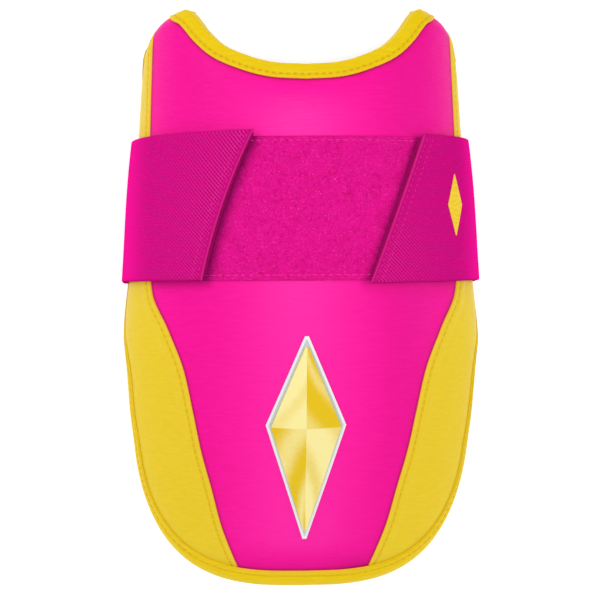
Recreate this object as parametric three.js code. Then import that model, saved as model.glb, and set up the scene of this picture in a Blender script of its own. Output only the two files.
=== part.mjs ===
// Elbow guard for a batter: a padded leather shell that one elastic strap holds on the arm.
// Units are millimetres. The guard lies on its back: X across, Y along the arm, Z up from the floor.
import * as THREE from 'three';

const { degToRad, lerp, clamp, smoothstep } = THREE.MathUtils;

// Cross sections of the foam's outer face, by distance along the guard from its round end
const SECTION_POWER = 2.15;
const SECTIONS = [
  { along: 0, halfWidth: 60.8, crown: 14, base: -21.6 },
  { along: 25, halfWidth: 68.5, crown: 27, base: -14.2 },
  { along: 50, halfWidth: 73.4, crown: 38, base: -6.2 },
  { along: 80, halfWidth: 76.1, crown: 49, base: 2.5 },
  { along: 112, halfWidth: 76.5, crown: 58, base: 11.5 },
  { along: 150, halfWidth: 72.6, crown: 64.5, base: 15 },
  { along: 185, halfWidth: 70.2, crown: 66.5, base: 16.4 },
  { along: 228, halfWidth: 67.5, crown: 65, base: 17 },
  { along: 262, halfWidth: 65.5, crown: 63, base: 17 },
];
const MIDDLE_ALONG = 125.7;

// The two upper corners curl over towards the arm
const CURL_RADIUS = 7.5;
const CURL_FROM_ANGLE = 56;
const CURL_FULL_ANGLE = 67;
const CURL_START = 236.8;
const CURL_START_ANGLE = 78;
const CURL_START_DROP = 6.5;
const CURL_DROP_ANGLE = 16;

// Outline of the shell: a round lobe, two low side edges and a scooped end between two corners
const LOBE_HALF_WIDTH = 74.5;
const LOBE_BOTTOM = 1.5;
const LOBE_WIDEST = 98;
const LOBE_POWER = 3.08;
const LOBE_FLARE = 1.75;
const LOBE_FLARE_ALONG = [62, 98];
const LOBE_STEPS = 18;
const SIDE_EDGE = [
  { along: 110, height: 10 },
  { along: 126, height: 7.2 },
  { along: 145, height: 5 },
  { along: 175, height: 4.2 },
  { along: 205, height: 4.2 },
];
const TOP_EDGE = [
  { angle: 99, along: 219 },
  { angle: 97, along: 225 },
  { angle: 94, along: 231 },
  { angle: 90, along: 237 },
  { angle: 86, along: 242.5 },
  { angle: 82, along: 247 },
  { angle: 78, along: 250.8 },
  { angle: 74, along: 253.6 },
  { angle: 70, along: 254.8 },
  { angle: 66.5, along: 254 },
  { angle: 63, along: 252.2 },
  { angle: 59.5, along: 250.4 },
  { angle: 56, along: 248.2 },
  { angle: 52.5, along: 244.6 },
  { angle: 49.3, along: 241 },
  { angle: 41.5, along: 234.4 },
  { angle: 28.5, along: 228.8 },
  { angle: 17, along: 226 },
  { angle: 0, along: 225 },
];
const OUTLINE_POINTS = 360;
const DEGREE_ARC = 1.2;

// Seam between the front panel and each side panel, as its distance from the middle in the front view
const SEAM = [
  { along: -5, side: 24 },
  { along: 10, side: 28.6 },
  { along: 28, side: 35.3 },
  { along: 45, side: 39.7 },
  { along: 62, side: 44.2 },
  { along: 80, side: 47.8 },
  { along: 98, side: 51.7 },
  { along: 115, side: 58.1 },
  { along: 130, side: 64.2 },
  { along: 165, side: 65.3 },
  { along: 200, side: 64.4 },
  { along: 262, side: 62.2 },
];
const SEAM_GAP = 0.3;

// Foam, leather and the sewn edge
const FOAM_THICKNESS = 8.5;
const FOAM_EDGE_THICKNESS = 3;
const FOAM_TAPER = [6.5, 28];
const EDGE_PINCH = 2.25;
const EDGE_PINCH_WIDTH = 14;
const CLEARANCE = 0.33;
const LEATHER = 1.2;
const FOLD_RISE = 0.7;
const FOLD_FADE = [8, 13];
const BINDING_LEATHER = 0.9;
const BINDING_LEG = 6.4;
const BINDING_LIFT = 0.68;
const BINDING_ROUND = 1.2;

// Grid of the shell: cells across each panel and along the guard
const FRONT_CELLS = 24;
const SIDE_STATIONS = [0, 0.12, 0.42, 0.72, 1];
const ALONG_CELLS = 19;
const CROWDING = 1.4;
const ROW_CROWDING = 1.9;
const RIM_WIDTH = BINDING_LEG;
const LOBE_CORNER = 24;
const TOP_CORNER_ANGLE = 88;
const CORNER_SPREAD = 3;

// Loop patch, hook tabs and strap
const PATCH_THICKNESS = 1.6;
const PATCH_ANGLE = 57;
const PATCH_HEIGHT = 60.6;
const PATCH_CELLS = { across: 18, along: 6 };
const STRAP_MIDDLE = 165.4;
const STRAP_WIDTH = 62;
const STRAP_THICKNESS = 2;
const STRAP_ENDS = {
  left: { low: -42, high: -21.2, rise: 1.8 },
  right: { low: 25.6, high: 47.1, rise: 0 },
};
const HOOK_THICKNESS = 1;
const HOOK_LIP = 1;
const HOOK_ANGLE = 53;
const HOOK_INSET = 1.5;
const HOOK_CELLS = { across: 6, along: 5 };
const STRAP_RISE_ANGLE = 28.5;
const STRAP_SIDE_OFFSET = 2.7;
const STRAP_EASE_ANGLES = [55, 84];
const STRAP_SIDE_ANGLE = 88;
const STRAP_SIDE_LEAN = 0.4;
const STRAP_BOW = 0.9;
const STRAP_CORNER_RADIUS = 4;
const STRAP_CELLS = { across: 5, front: 11, corner: 5, base: 8 };

// Badge: a faceted kite on a flat border plate
const BADGE_ALONG = 67.7;
const BADGE_HALF_LENGTH = 44;
const BADGE_HALF_WIDTH = 17;
const BADGE_WIDEST = 0.14;
const BADGE_TIP = 0.05;
const BADGE_BORDER = 1.6;
const BADGE_PLATE = 0.8;
const BADGE_EDGE = 0.6;
const BADGE_RIDGE = 2.4;
const BADGE_CELLS = 12;
const BADGE_COLUMNS = [-1, -0.5, 0, 0.5, 1];

const COLOURS = {
  foam: 0x2b2b2e,
  pink: 0xfa1b9d,
  yellow: 0xeccd35,
  pile: 0xde1489,
  elastic: 0xd41483,
  hook: 0xd8489c,
  silver: 0xc9ccd0,
  gold: 0xe3b41f,
};

// Value of a table's column at a place along the guard: a cubic through the rows
function along_table(rows, column, along) {
  const last = rows.length - 1;
  const next = rows.findIndex((row) => row.along > along);
  const high = next < 0 ? last : Math.max(next, 1);
  const low = high - 1;
  const slope = (i) => {
    const before = rows[Math.max(i - 1, 0)];
    const after = rows[Math.min(i + 1, last)];
    return (after[column] - before[column]) / (after.along - before.along);
  };
  const span = rows[high].along - rows[low].along;
  const t = (along - rows[low].along) / span;
  const start = rows[low][column];
  const rise = rows[high][column] - start;
  const bend = slope(low) * span - rise;
  const unbend = slope(high) * span - rise;
  return start + rise * t + t * (1 - t) * (bend * (1 - t) - unbend * t);
}

// Half width, height of the crown over the base and the base's own height at one section
function section(along) {
  const width = along_table(SECTIONS, 'halfWidth', along);
  const base = along_table(SECTIONS, 'base', along);
  return { width, base, height: along_table(SECTIONS, 'crown', along) - base };
}

// Angle from the crown of the point on a section that lies this far from the middle
function angle_at_side(along, side) {
  const { width, height } = section(along);
  const up = height * (1 - (side / width) ** SECTION_POWER) ** (1 / SECTION_POWER);
  return Math.atan2(side, up);
}

// Angle from the crown of the point on a section's underside that lies at this height
function angle_at_height(along, level) {
  const { width, base, height } = section(along);
  const drop = base - level;
  const side = width * (1 - (drop / height) ** SECTION_POWER) ** (1 / SECTION_POWER);
  return Math.atan2(side, -drop);
}

// Point of the foam's outer face before its edge is pinched, by angle and distance along
function face_point(angle, along) {
  const { width, base, height } = section(along);
  const up = Math.abs(Math.cos(angle)) / height;
  const out = Math.abs(Math.sin(angle)) / width;
  const radius = (up ** SECTION_POWER + out ** SECTION_POWER) ** (-1 / SECTION_POWER);
  const degrees = Math.abs(THREE.MathUtils.radToDeg(angle));
  const share = smoothstep(degrees, CURL_FROM_ANGLE, CURL_FULL_ANGLE);
  const past = clamp((degrees - CURL_START_ANGLE) / CURL_DROP_ANGLE, -1, 1);
  const start = CURL_START - CURL_START_DROP * Math.sin(past * Math.PI / 2);
  const turn = Math.max(along - start, 0) / CURL_RADIUS;
  const reach = start + CURL_RADIUS * Math.sin(turn);
  const y = turn > 0 ? lerp(along, reach, share) : along;
  const r = radius - share * CURL_RADIUS * (1 - Math.cos(turn));
  return new THREE.Vector3(r * Math.sin(angle), y - MIDDLE_ALONG, base + r * Math.cos(angle));
}

// Slopes of the face across and along, and its outward normal
function face_frame(angle, along) {
  const step = 1e-3;
  const across = face_point(angle + step, along).sub(face_point(angle - step, along));
  const forward = face_point(angle, along + step).sub(face_point(angle, along - step));
  across.divideScalar(2 * step);
  forward.divideScalar(2 * step);
  return { across, forward, normal: across.clone().cross(forward).normalize() };
}

function raised(angle, along, offset) {
  return face_point(angle, along).addScaledVector(face_frame(angle, along).normal, offset);
}

// Right half of the outline as angle and distance along, from the round end to the scoop
function half_outline() {
  const keys = [];
  for (let i = 0; i <= LOBE_STEPS; i++) {
    const turn = (i / LOBE_STEPS) * Math.PI / 2;
    const reach = (LOBE_WIDEST - LOBE_BOTTOM) * Math.cos(turn) ** (2 / LOBE_POWER);
    const along = LOBE_WIDEST - reach;
    const flare = LOBE_FLARE * smoothstep(along, ...LOBE_FLARE_ALONG);
    const side = LOBE_HALF_WIDTH * Math.sin(turn) ** (2 / LOBE_POWER) + flare;
    keys.push({ angle: THREE.MathUtils.radToDeg(angle_at_side(along, side)), along });
  }
  for (const { along, height } of SIDE_EDGE) {
    keys.push({ angle: THREE.MathUtils.radToDeg(angle_at_height(along, height)), along });
  }
  keys.push(...TOP_EDGE);
  const path = keys.map(({ angle, along }) => new THREE.Vector3(angle * DEGREE_ARC, along, 0));
  const spaced = new THREE.CatmullRomCurve3(path, false, 'centripetal').getSpacedPoints(OUTLINE_POINTS);
  return spaced.map((p) => ({ angle: degToRad(p.x / DEGREE_ARC), along: p.y }));
}

const outline = half_outline();
const outline_face = outline.map(({ angle, along }) => face_point(angle, along));

// Distance from a point of the face to the nearer side of the outline
function edge_distance(point) {
  const folded = new THREE.Vector3(Math.abs(point.x), point.y, point.z);
  return Math.min(...outline_face.map((p) => p.distanceTo(folded)));
}

function edge_pinch(distance) {
  return EDGE_PINCH * Math.max(1 - distance / EDGE_PINCH_WIDTH, 0) ** 2;
}

function foam_thickness(distance) {
  return lerp(FOAM_EDGE_THICKNESS, FOAM_THICKNESS, smoothstep(distance, ...FOAM_TAPER));
}

function seam_angle(along) {
  return angle_at_side(along, along_table(SEAM, 'side', along));
}

// Place on the whole outline by its station: up the right half, then down the left one
function outline_place(station) {
  const loop = 2 * OUTLINE_POINTS;
  const turned = THREE.MathUtils.euclideanModulo(station, loop);
  const place = turned > OUTLINE_POINTS ? loop - turned : turned;
  const low = Math.min(Math.floor(place), OUTLINE_POINTS - 1);
  const angle = lerp(outline[low].angle, outline[low + 1].angle, place - low);
  const along = lerp(outline[low].along, outline[low + 1].along, place - low);
  return { angle: turned > OUTLINE_POINTS ? -angle : angle, along };
}

// Place that lies inwards of a station of the outline, square to it over the face
function edge_place(station, inward) {
  const place = outline_place(station);
  const { across, forward, normal } = face_frame(place.angle, place.along);
  const before = outline_place(station - 1);
  const after = outline_place(station + 1);
  const travel = face_point(after.angle, after.along).sub(face_point(before.angle, before.along));
  const square = normal.clone().cross(travel).normalize();
  const aa = across.dot(across);
  const ff = forward.dot(forward);
  const af = across.dot(forward);
  const a = across.dot(square);
  const f = forward.dot(square);
  const area = aa * ff - af * af;
  const angle = place.angle + (inward * (a * ff - f * af)) / area;
  const along = place.along + (inward * (f * aa - a * af)) / area;
  return { angle, along, station };
}

// Stations where the seam meets the inner side of the binding, and the ends of the side edge
function outline_stops() {
  const past = outline.map((_, i) => {
    const { angle, along } = edge_place(i, RIM_WIDTH);
    return angle - seam_angle(along);
  });
  const first = past.findIndex((value) => value > 0);
  const last = past.findLastIndex((value) => value > 0);
  return {
    seam_low: first - past[first] / (past[first] - past[first - 1]),
    lobe_corner: outline.findIndex(({ along }, i) => i > first && along > LOBE_CORNER),
    top_corner: outline.findLastIndex(({ angle }) => angle > degToRad(TOP_CORNER_ANGLE)),
    seam_high: last + past[last] / (past[last] - past[last + 1]),
  };
}

const stops = outline_stops();

function mirrored({ angle, along, station }) {
  return { angle: -angle, along, station: -station };
}

// Place of a patch that fills four boundary curves
function filled(low, high, left, right, u, v) {
  const blend = (key) => {
    const straight = lerp(left(v)[key], right(v)[key], u) + lerp(low(u)[key], high(u)[key], v);
    const corners = lerp(lerp(low(0)[key], low(1)[key], u), lerp(high(0)[key], high(1)[key], u), v);
    return straight - corners;
  };
  return { angle: blend('angle'), along: blend('along') };
}

function shares(cells) {
  return Array.from({ length: cells + 1 }, (_, i) => i / cells);
}

// Share that runs slower towards 1, so that cells are closer there
function crowded(share, power) {
  return 1 - (1 - share) ** power;
}

const rows = shares(ALONG_CELLS).map((share) => crowded(share, ROW_CROWDING));
const seam_low = edge_place(stops.seam_low, RIM_WIDTH);
const seam_high = edge_place(stops.seam_high, RIM_WIDTH);

function seam_place(share) {
  const along = lerp(seam_low.along, seam_high.along, share);
  return { angle: seam_angle(along), along };
}

// Grid of the right side panel, from the seam to the edge, with a rim of cells under the binding
function side_places() {
  const low_station = (u) => lerp(stops.seam_low, stops.lobe_corner, u);
  const high_station = (u) => lerp(stops.seam_high, stops.top_corner, u);
  const edge_station = (v) => lerp(stops.lobe_corner, stops.top_corner, v);
  const inner = (station) => (share) => edge_place(station(share), RIM_WIDTH);
  const bounds = [inner(low_station), inner(high_station), seam_place, inner(edge_station)];
  const edge_row = (station, corner, turn) => {
    const row = SIDE_STATIONS.map((u) => edge_place(station(u), 0));
    row[row.length - 1] = edge_place(corner + turn, 0);
    return [...row, edge_place(corner, 0)];
  };
  const side_station = (v) => edge_station(v) + CORNER_SPREAD * (1 - 2 * v);
  const inner_rows = rows.map((v) => [
    ...SIDE_STATIONS.map((u) => filled(...bounds, u, v)),
    edge_place(v % 1 === 0 ? side_station(v) : edge_station(v), 0),
  ]);
  return [
    edge_row(low_station, stops.lobe_corner, -CORNER_SPREAD),
    ...inner_rows,
    edge_row(high_station, stops.top_corner, CORNER_SPREAD),
  ];
}

// Grid of the front panel, from the left seam to the right one, with the same rim
function front_places() {
  const low_station = (u) => lerp(-stops.seam_low, stops.seam_low, u);
  const high_station = (u) => lerp(2 * OUTLINE_POINTS - stops.seam_high, stops.seam_high, u);
  const inner = (station) => (share) => edge_place(station(share), RIM_WIDTH);
  const left = (v) => mirrored(seam_place(v));
  const bounds = [inner(low_station), inner(high_station), left, seam_place];
  const columns = shares(FRONT_CELLS).map((share) => {
    const side = 2 * share - 1;
    return (1 + Math.sign(side) * crowded(Math.abs(side), CROWDING)) / 2;
  });
  return [
    columns.map((u) => edge_place(low_station(u), 0)),
    ...rows.map((v) => columns.map((u) => filled(...bounds, u, v))),
    columns.map((u) => edge_place(high_station(u), 0)),
  ];
}

const right_grid = side_places();
const left_grid = right_grid.map((row) => row.map(mirrored).reverse());
const front_grid = front_places();
const shell_grid = front_grid.map((row, i) => [
  ...left_grid[i].slice(0, -1),
  ...row,
  ...right_grid[i].slice(1),
]);

// Closed solid between two grids of points, faces outwards
function wall(outer, inner) {
  const height = outer.length;
  const width = outer[0].length;
  const index = (side, row, column) => (side * height + row) * width + column;
  const faces = [];
  const quad = (a, b, c, d) => faces.push(a, b, c, a, c, d);
  for (let r = 0; r + 1 < height; r++) {
    for (let c = 0; c + 1 < width; c++) {
      const corners = [[r, c], [r, c + 1], [r + 1, c + 1], [r + 1, c]];
      if (outer[r][c].x + outer[r][c + 1].x > 0) corners.push(corners.shift());
      const [a, b, e, f] = corners;
      quad(index(0, ...a), index(0, ...b), index(0, ...e), index(0, ...f));
      quad(index(1, ...a), index(1, ...f), index(1, ...e), index(1, ...b));
    }
  }
  const rim = rim_of(height, width);
  rim.forEach(([r, c], i) => {
    const [s, d] = rim[(i + 1) % rim.length];
    const corners = [index(1, r, c), index(1, s, d), index(0, s, d), index(0, r, c)];
    if (outer[r][c].x > 0) corners.push(corners.shift());
    quad(...corners);
  });
  return solid([...outer.flat(), ...inner.flat()], faces);
}

// Rows and columns round a grid's border, counter-clockwise
function rim_of(height, width) {
  const rim = [];
  for (let c = 0; c < width - 1; c++) rim.push([0, c]);
  for (let r = 0; r < height - 1; r++) rim.push([r, width - 1]);
  for (let c = width - 1; c > 0; c--) rim.push([height - 1, c]);
  for (let r = height - 1; r > 0; r--) rim.push([r, 0]);
  return rim;
}

// Closed ring through a loop of profiles
function ring(profiles) {
  const count = profiles.length;
  const size = profiles[0].length;
  const faces = [];
  for (let i = 0; i < count; i++) {
    for (let j = 0; j < size; j++) {
      const here = i * size;
      const there = ((i + 1) % count) * size;
      const k = (j + 1) % size;
      const right = profiles[i][j].x > 0;
      if (right) faces.push(here + k, there + k, there + j, here + k, there + j, here + j);
      else faces.push(here + j, here + k, there + k, here + j, there + k, there + j);
    }
  }
  return solid(profiles.flat(), faces);
}

function solid(points, faces) {
  const geometry = new THREE.BufferGeometry();
  geometry.setAttribute('position', new THREE.Float32BufferAttribute(points.flatMap((p) => p.toArray()), 3));
  geometry.setIndex(faces);
  geometry.computeVertexNormals();
  return geometry;
}

// Grid of points over the shell, at an offset from the foam's face that the edge distance may change
function over_shell(grid, offset) {
  return grid.map((row, r) => row.map(({ angle, along }, c) => {
    const distance = edge_distance(face_point(angle, along));
    return raised(angle, along, offset(distance, r, c) - edge_pinch(distance));
  }));
}

function pad_body() {
  const lining = (distance) => -foam_thickness(distance);
  return wall(over_shell(shell_grid, () => 0), over_shell(shell_grid, lining));
}

// A panel's seam edges are drawn back half the gap between the panels
function drawn_back(grid, columns) {
  return grid.map((row) => row.map(({ angle, along }, c) => {
    const { across } = face_frame(angle, along);
    return { angle: angle + (columns[c] ?? 0) * (SEAM_GAP / 2) / across.length(), along };
  }));
}

function front_panel() {
  const grid = drawn_back(front_grid, { 0: 1, [FRONT_CELLS]: -1 });
  return wall(over_shell(grid, () => CLEARANCE + LEATHER), over_shell(grid, () => CLEARANCE));
}

// A side panel's edge is folded under at the seam, so it stands higher there
function side_panel(grid, seam_column, fold_column, back) {
  const panel = drawn_back(grid, { [seam_column]: back });
  const outer = (distance, r, c) => {
    const folded = c === seam_column || c === fold_column;
    const rise = folded ? FOLD_RISE * smoothstep(distance, ...FOLD_FADE) : 0;
    return CLEARANCE + LEATHER + rise;
  };
  return wall(over_shell(panel, outer), over_shell(panel, () => CLEARANCE));
}

// Binding: a strip folded round the edge, carried along the shell's border
function edge_binding() {
  const border = rim_of(shell_grid.length, shell_grid[0].length).map(([r, c]) => shell_grid[r][c]);
  const over = CLEARANCE + LEATHER + BINDING_LIFT;
  const top = over + BINDING_LEATHER;
  const under = -BINDING_LIFT;
  const bottom = under - BINDING_LEATHER;
  const web = -BINDING_LIFT - BINDING_LEATHER;
  const profile = [
    { inward: BINDING_LEG, offset: top },
    { inward: BINDING_LEG / 2, offset: top },
    { inward: web + BINDING_ROUND, offset: top },
    { inward: web, offset: top - BINDING_ROUND },
    { inward: web, offset: bottom + BINDING_ROUND, below: true },
    { inward: web + BINDING_ROUND, offset: bottom, below: true },
    { inward: BINDING_LEG, offset: bottom, below: true },
    { inward: BINDING_LEG, offset: under, below: true },
    { inward: 0, offset: under, below: true },
    { inward: -BINDING_LIFT, offset: under, below: true },
    { inward: -BINDING_LIFT, offset: over },
    { inward: BINDING_LEG / 2, offset: over },
    { inward: BINDING_LEG, offset: over },
  ];
  return ring(border.map(({ station }) => profile.map((corner) => {
    const { angle, along } = edge_place(station, corner.inward);
    const distance = Math.max(corner.inward, 0);
    const depth = corner.below ? foam_thickness(distance) : 0;
    return raised(angle, along, corner.offset - depth - edge_pinch(distance));
  })));
}

// Solid of even thickness lying over the front, from one angle to another at each distance along
function front_sheet(low, high, cells, start, end, base, thickness, shift) {
  const line = (offset) => Array.from({ length: cells.along + 1 }, (_, r) => {
    const v = r / cells.along;
    const along = lerp(low, high, v);
    return Array.from({ length: cells.across + 1 }, (_, c) => {
      const angle = lerp(start(v, along), end(v, along), c / cells.across);
      return raised(angle, along + shift(angle), offset);
    });
  });
  return wall(line(base + thickness), line(base));
}

const patch_base = 2 * CLEARANCE + LEATHER;
const hook_base = patch_base + PATCH_THICKNESS + CLEARANCE;
const strap_base = hook_base + HOOK_THICKNESS + CLEARANCE;
const strap_low = STRAP_MIDDLE - STRAP_WIDTH / 2;
const strap_high = STRAP_MIDDLE + STRAP_WIDTH / 2;

function loop_patch() {
  const reach = degToRad(PATCH_ANGLE);
  const low = STRAP_MIDDLE - PATCH_HEIGHT / 2;
  const edges = [() => -reach, () => reach];
  const level = () => 0;
  return front_sheet(
    low, low + PATCH_HEIGHT, PATCH_CELLS, ...edges, patch_base, PATCH_THICKNESS, level);
}

// Signed angle of a strap end's slanted edge, drawn out past it by an extra length
function strap_end(end, v, along, extra) {
  const side = lerp(end.low, end.high, v);
  return Math.sign(side) * angle_at_side(along, Math.abs(side) - extra);
}

// The strap climbs a little towards its end
function strap_rise(end) {
  const side = degToRad(STRAP_SIDE_ANGLE);
  const climb = side - degToRad(STRAP_RISE_ANGLE);
  return (angle) => end.rise * clamp((side - Math.abs(angle)) / climb, 0, 1);
}

function hook_tab(end) {
  const back = Math.sign(end.low) * degToRad(HOOK_ANGLE);
  const lip = (v, along) => strap_end(end, v, along, HOOK_LIP);
  const edges = end.low < 0 ? [() => back, lip] : [lip, () => back];
  const low = strap_low + HOOK_INSET;
  const high = strap_high - HOOK_INSET;
  return front_sheet(low, high, HOOK_CELLS, ...edges, hook_base, HOOK_THICKNESS, strap_rise(end));
}

// Offset of the strap from the side panel: it bows out in the middle of its width
function side_offset(along) {
  const place = (2 * (along - STRAP_MIDDLE)) / STRAP_WIDTH;
  return STRAP_SIDE_OFFSET + STRAP_BOW * (1 - place ** 2);
}

// Offset of the strap's inner face from the guard: over the hook tab, then down on to the side panel
function strap_offset(angle, along) {
  const degrees = Math.abs(THREE.MathUtils.radToDeg(angle));
  return lerp(strap_base, side_offset(along), smoothstep(degrees, ...STRAP_EASE_ANGLES));
}

// Points of one of the strap's faces across the front, from its slanted end to its side
function strap_front(end, v, along, depth) {
  const start = strap_end(end, v, along, 0);
  const side = Math.sign(end.low) * degToRad(STRAP_SIDE_ANGLE);
  const rise = strap_rise(end);
  return Array.from({ length: STRAP_CELLS.front + 1 }, (_, i) => {
    const angle = lerp(start, side, i / STRAP_CELLS.front);
    return raised(angle, along + rise(angle), strap_offset(angle, along) + depth);
  });
}

// Points of one of the strap's faces round the corner between its side and the floor
function strap_corner(sign, along, depth) {
  const { width } = section(along);
  const radius = STRAP_CORNER_RADIUS + depth;
  const x = width + side_offset(along) - STRAP_SIDE_LEAN - STRAP_CORNER_RADIUS;
  const z = STRAP_THICKNESS + STRAP_CORNER_RADIUS;
  return Array.from({ length: STRAP_CELLS.corner + 1 }, (_, i) => {
    const turn = (i / STRAP_CELLS.corner) * Math.PI / 2;
    const out = x + radius * Math.cos(turn);
    return new THREE.Vector3(sign * out, along - MIDDLE_ALONG, z - radius * Math.sin(turn));
  });
}

// One face of the strap: left end, left side, along the floor, right side, right end
function strap_face(depth) {
  return Array.from({ length: STRAP_CELLS.across + 1 }, (_, r) => {
    const v = r / STRAP_CELLS.across;
    const along = lerp(strap_low, strap_high, v);
    const half = (end) => [
      ...strap_front(end, v, along, depth),
      ...strap_corner(Math.sign(end.low), along, depth),
    ];
    const left = half(STRAP_ENDS.left);
    const right = half(STRAP_ENDS.right).reverse();
    const base = Array.from({ length: STRAP_CELLS.base - 1 }, (_, i) =>
      left.at(-1).clone().lerp(right[0], (i + 1) / STRAP_CELLS.base));
    return [...left, ...base, ...right];
  });
}

function strap() {
  return wall(strap_face(0), strap_face(STRAP_THICKNESS));
}

// Kite over the round end: its half width by share of its length, drawn in by a border
function kite(border, offset) {
  const half = BADGE_HALF_LENGTH - 2 * border;
  const wide = BADGE_HALF_WIDTH - border;
  return Array.from({ length: BADGE_CELLS + 1 }, (_, r) => {
    const t = lerp(-1, 1, r / BADGE_CELLS);
    const taper = Math.min((1 + t) / (1 + BADGE_WIDEST), (1 - t) / (1 - BADGE_WIDEST));
    const width = wide * lerp(BADGE_TIP, 1, taper);
    const along = BADGE_ALONG + half * t;
    return BADGE_COLUMNS.map((u) => {
      const angle = Math.sign(u) * angle_at_side(along, Math.abs(u) * width);
      return raised(angle, along, offset(u, taper));
    });
  });
}

function badge_backing() {
  return wall(kite(0, () => patch_base + BADGE_PLATE), kite(0, () => patch_base));
}

function badge_face() {
  const base = patch_base + BADGE_PLATE + CLEARANCE;
  const facet = (u, taper) => base + BADGE_EDGE + BADGE_RIDGE * (1 - Math.abs(u)) * taper;
  return wall(kite(BADGE_BORDER, facet), kite(BADGE_BORDER, () => base));
}

const guard = new THREE.Group();

function add(name, geometry, color, roughness, metalness) {
  const mesh = new THREE.Mesh(geometry, new THREE.MeshStandardMaterial({ color, roughness, metalness }));
  mesh.name = name;
  guard.add(mesh);
}

const seam_column = SIDE_STATIONS.length;
add('pad_body', pad_body(), COLOURS.foam, 0.9, 0);
add('front_panel', front_panel(), COLOURS.pink, 0.5, 0);
add('side_panel_left', side_panel(left_grid, seam_column, seam_column - 1, -1), COLOURS.yellow, 0.5, 0);
add('side_panel_right', side_panel(right_grid, 0, 1, 1), COLOURS.yellow, 0.5, 0);
add('edge_binding', edge_binding(), COLOURS.yellow, 0.5, 0);
add('loop_patch', loop_patch(), COLOURS.pile, 0.95, 0);
add('hook_tab_left', hook_tab(STRAP_ENDS.left), COLOURS.hook, 0.7, 0);
add('hook_tab_right', hook_tab(STRAP_ENDS.right), COLOURS.hook, 0.7, 0);
add('strap', strap(), COLOURS.elastic, 0.8, 0);
add('badge_backing', badge_backing(), COLOURS.silver, 0.3, 0.9);
add('badge_face', badge_face(), COLOURS.gold, 0.35, 0.8);

export default guard;
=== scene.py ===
"""Elbow guard for a batter, on its back on a pale floor: foam, leather, loop pile, elastic strap and badge.

Shapes are worked out in millimetres and put into their meshes in metres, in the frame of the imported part.
"""

import bpy
import numpy as np
from mathutils import Matrix, Vector


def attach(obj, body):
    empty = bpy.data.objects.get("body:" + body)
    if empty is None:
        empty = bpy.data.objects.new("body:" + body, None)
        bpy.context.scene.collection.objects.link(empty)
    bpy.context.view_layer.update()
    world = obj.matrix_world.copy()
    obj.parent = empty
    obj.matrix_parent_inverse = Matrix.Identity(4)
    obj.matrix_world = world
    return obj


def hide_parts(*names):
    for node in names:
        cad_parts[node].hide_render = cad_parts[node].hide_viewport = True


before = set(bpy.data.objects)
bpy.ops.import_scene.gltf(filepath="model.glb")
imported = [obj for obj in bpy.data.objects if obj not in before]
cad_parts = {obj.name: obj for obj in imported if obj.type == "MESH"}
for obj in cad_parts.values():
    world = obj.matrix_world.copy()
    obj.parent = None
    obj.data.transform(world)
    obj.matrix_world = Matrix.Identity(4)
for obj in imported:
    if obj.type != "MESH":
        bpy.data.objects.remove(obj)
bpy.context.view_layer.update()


# Foam wall: a moulded pad with a knitted lining on the arm's side, thick over the forearm and thin at
# its sewn edge. Its outer face carries every other piece, so the shape of the whole guard is given here.
MM = 0.001
SECTION_POWER = 2.15
# Columns: distance along from the round end, half width, height of the crown, height of the base
SECTIONS = np.array([
    (0, 60.8, 14, -21.6),
    (25, 68.5, 27, -14.2),
    (50, 73.4, 38, -6.2),
    (80, 76.1, 49, 2.5),
    (112, 76.5, 58, 11.5),
    (150, 72.6, 64.5, 15),
    (185, 70.2, 66.5, 16.4),
    (228, 67.5, 65, 17),
    (262, 65.5, 63, 17),
])
MIDDLE_ALONG = 125.7
CURL_RADIUS = 7.5
CURL_ANGLES = (56, 67)
CURL_START = 236.8
CURL_START_ANGLE = 78
CURL_START_DROP = 6.5
CURL_DROP_ANGLE = 16


def smooth(value, low, high):
    """Share that rises from 0 at low to 1 at high, level at both ends."""
    t = np.clip((value - low) / (high - low), 0, 1)
    return t * t * (3 - 2 * t)


def along_table(table, column, along):
    """Cubic through a table's rows, with each row's slope taken from the line between its neighbours."""
    place = table[:, 0]
    value = table[:, column]
    index = np.arange(len(place))
    before = np.maximum(index - 1, 0)
    after = np.minimum(index + 1, len(place) - 1)
    slope = (value[after] - value[before]) / (place[after] - place[before])
    low = np.clip(np.searchsorted(place, along, side="right") - 1, 0, len(place) - 2)
    span = place[low + 1] - place[low]
    t = (along - place[low]) / span
    rise = value[low + 1] - value[low]
    bend = slope[low] * span - rise
    unbend = slope[low + 1] * span - rise
    return value[low] + rise * t + t * (1 - t) * (bend * (1 - t) - unbend * t)


def section(along):
    """Half width, height over the base, and base height of the cross section at a distance along."""
    width, crown, base = (along_table(SECTIONS, column, along) for column in (1, 2, 3))
    return width, crown - base, base


def angle_at_side(along, side):
    """Angle from the crown at which a section reaches a distance from the middle."""
    width, height, _ = section(along)
    return np.arctan2(side, height * (1 - (side / width) ** SECTION_POWER) ** (1 / SECTION_POWER))


def angle_at_height(along, level):
    """Angle from the crown at which a section's underside comes down to a level."""
    width, height, base = section(along)
    drop = base - level
    return np.arctan2(width * (1 - (drop / height) ** SECTION_POWER) ** (1 / SECTION_POWER), -drop)


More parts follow.
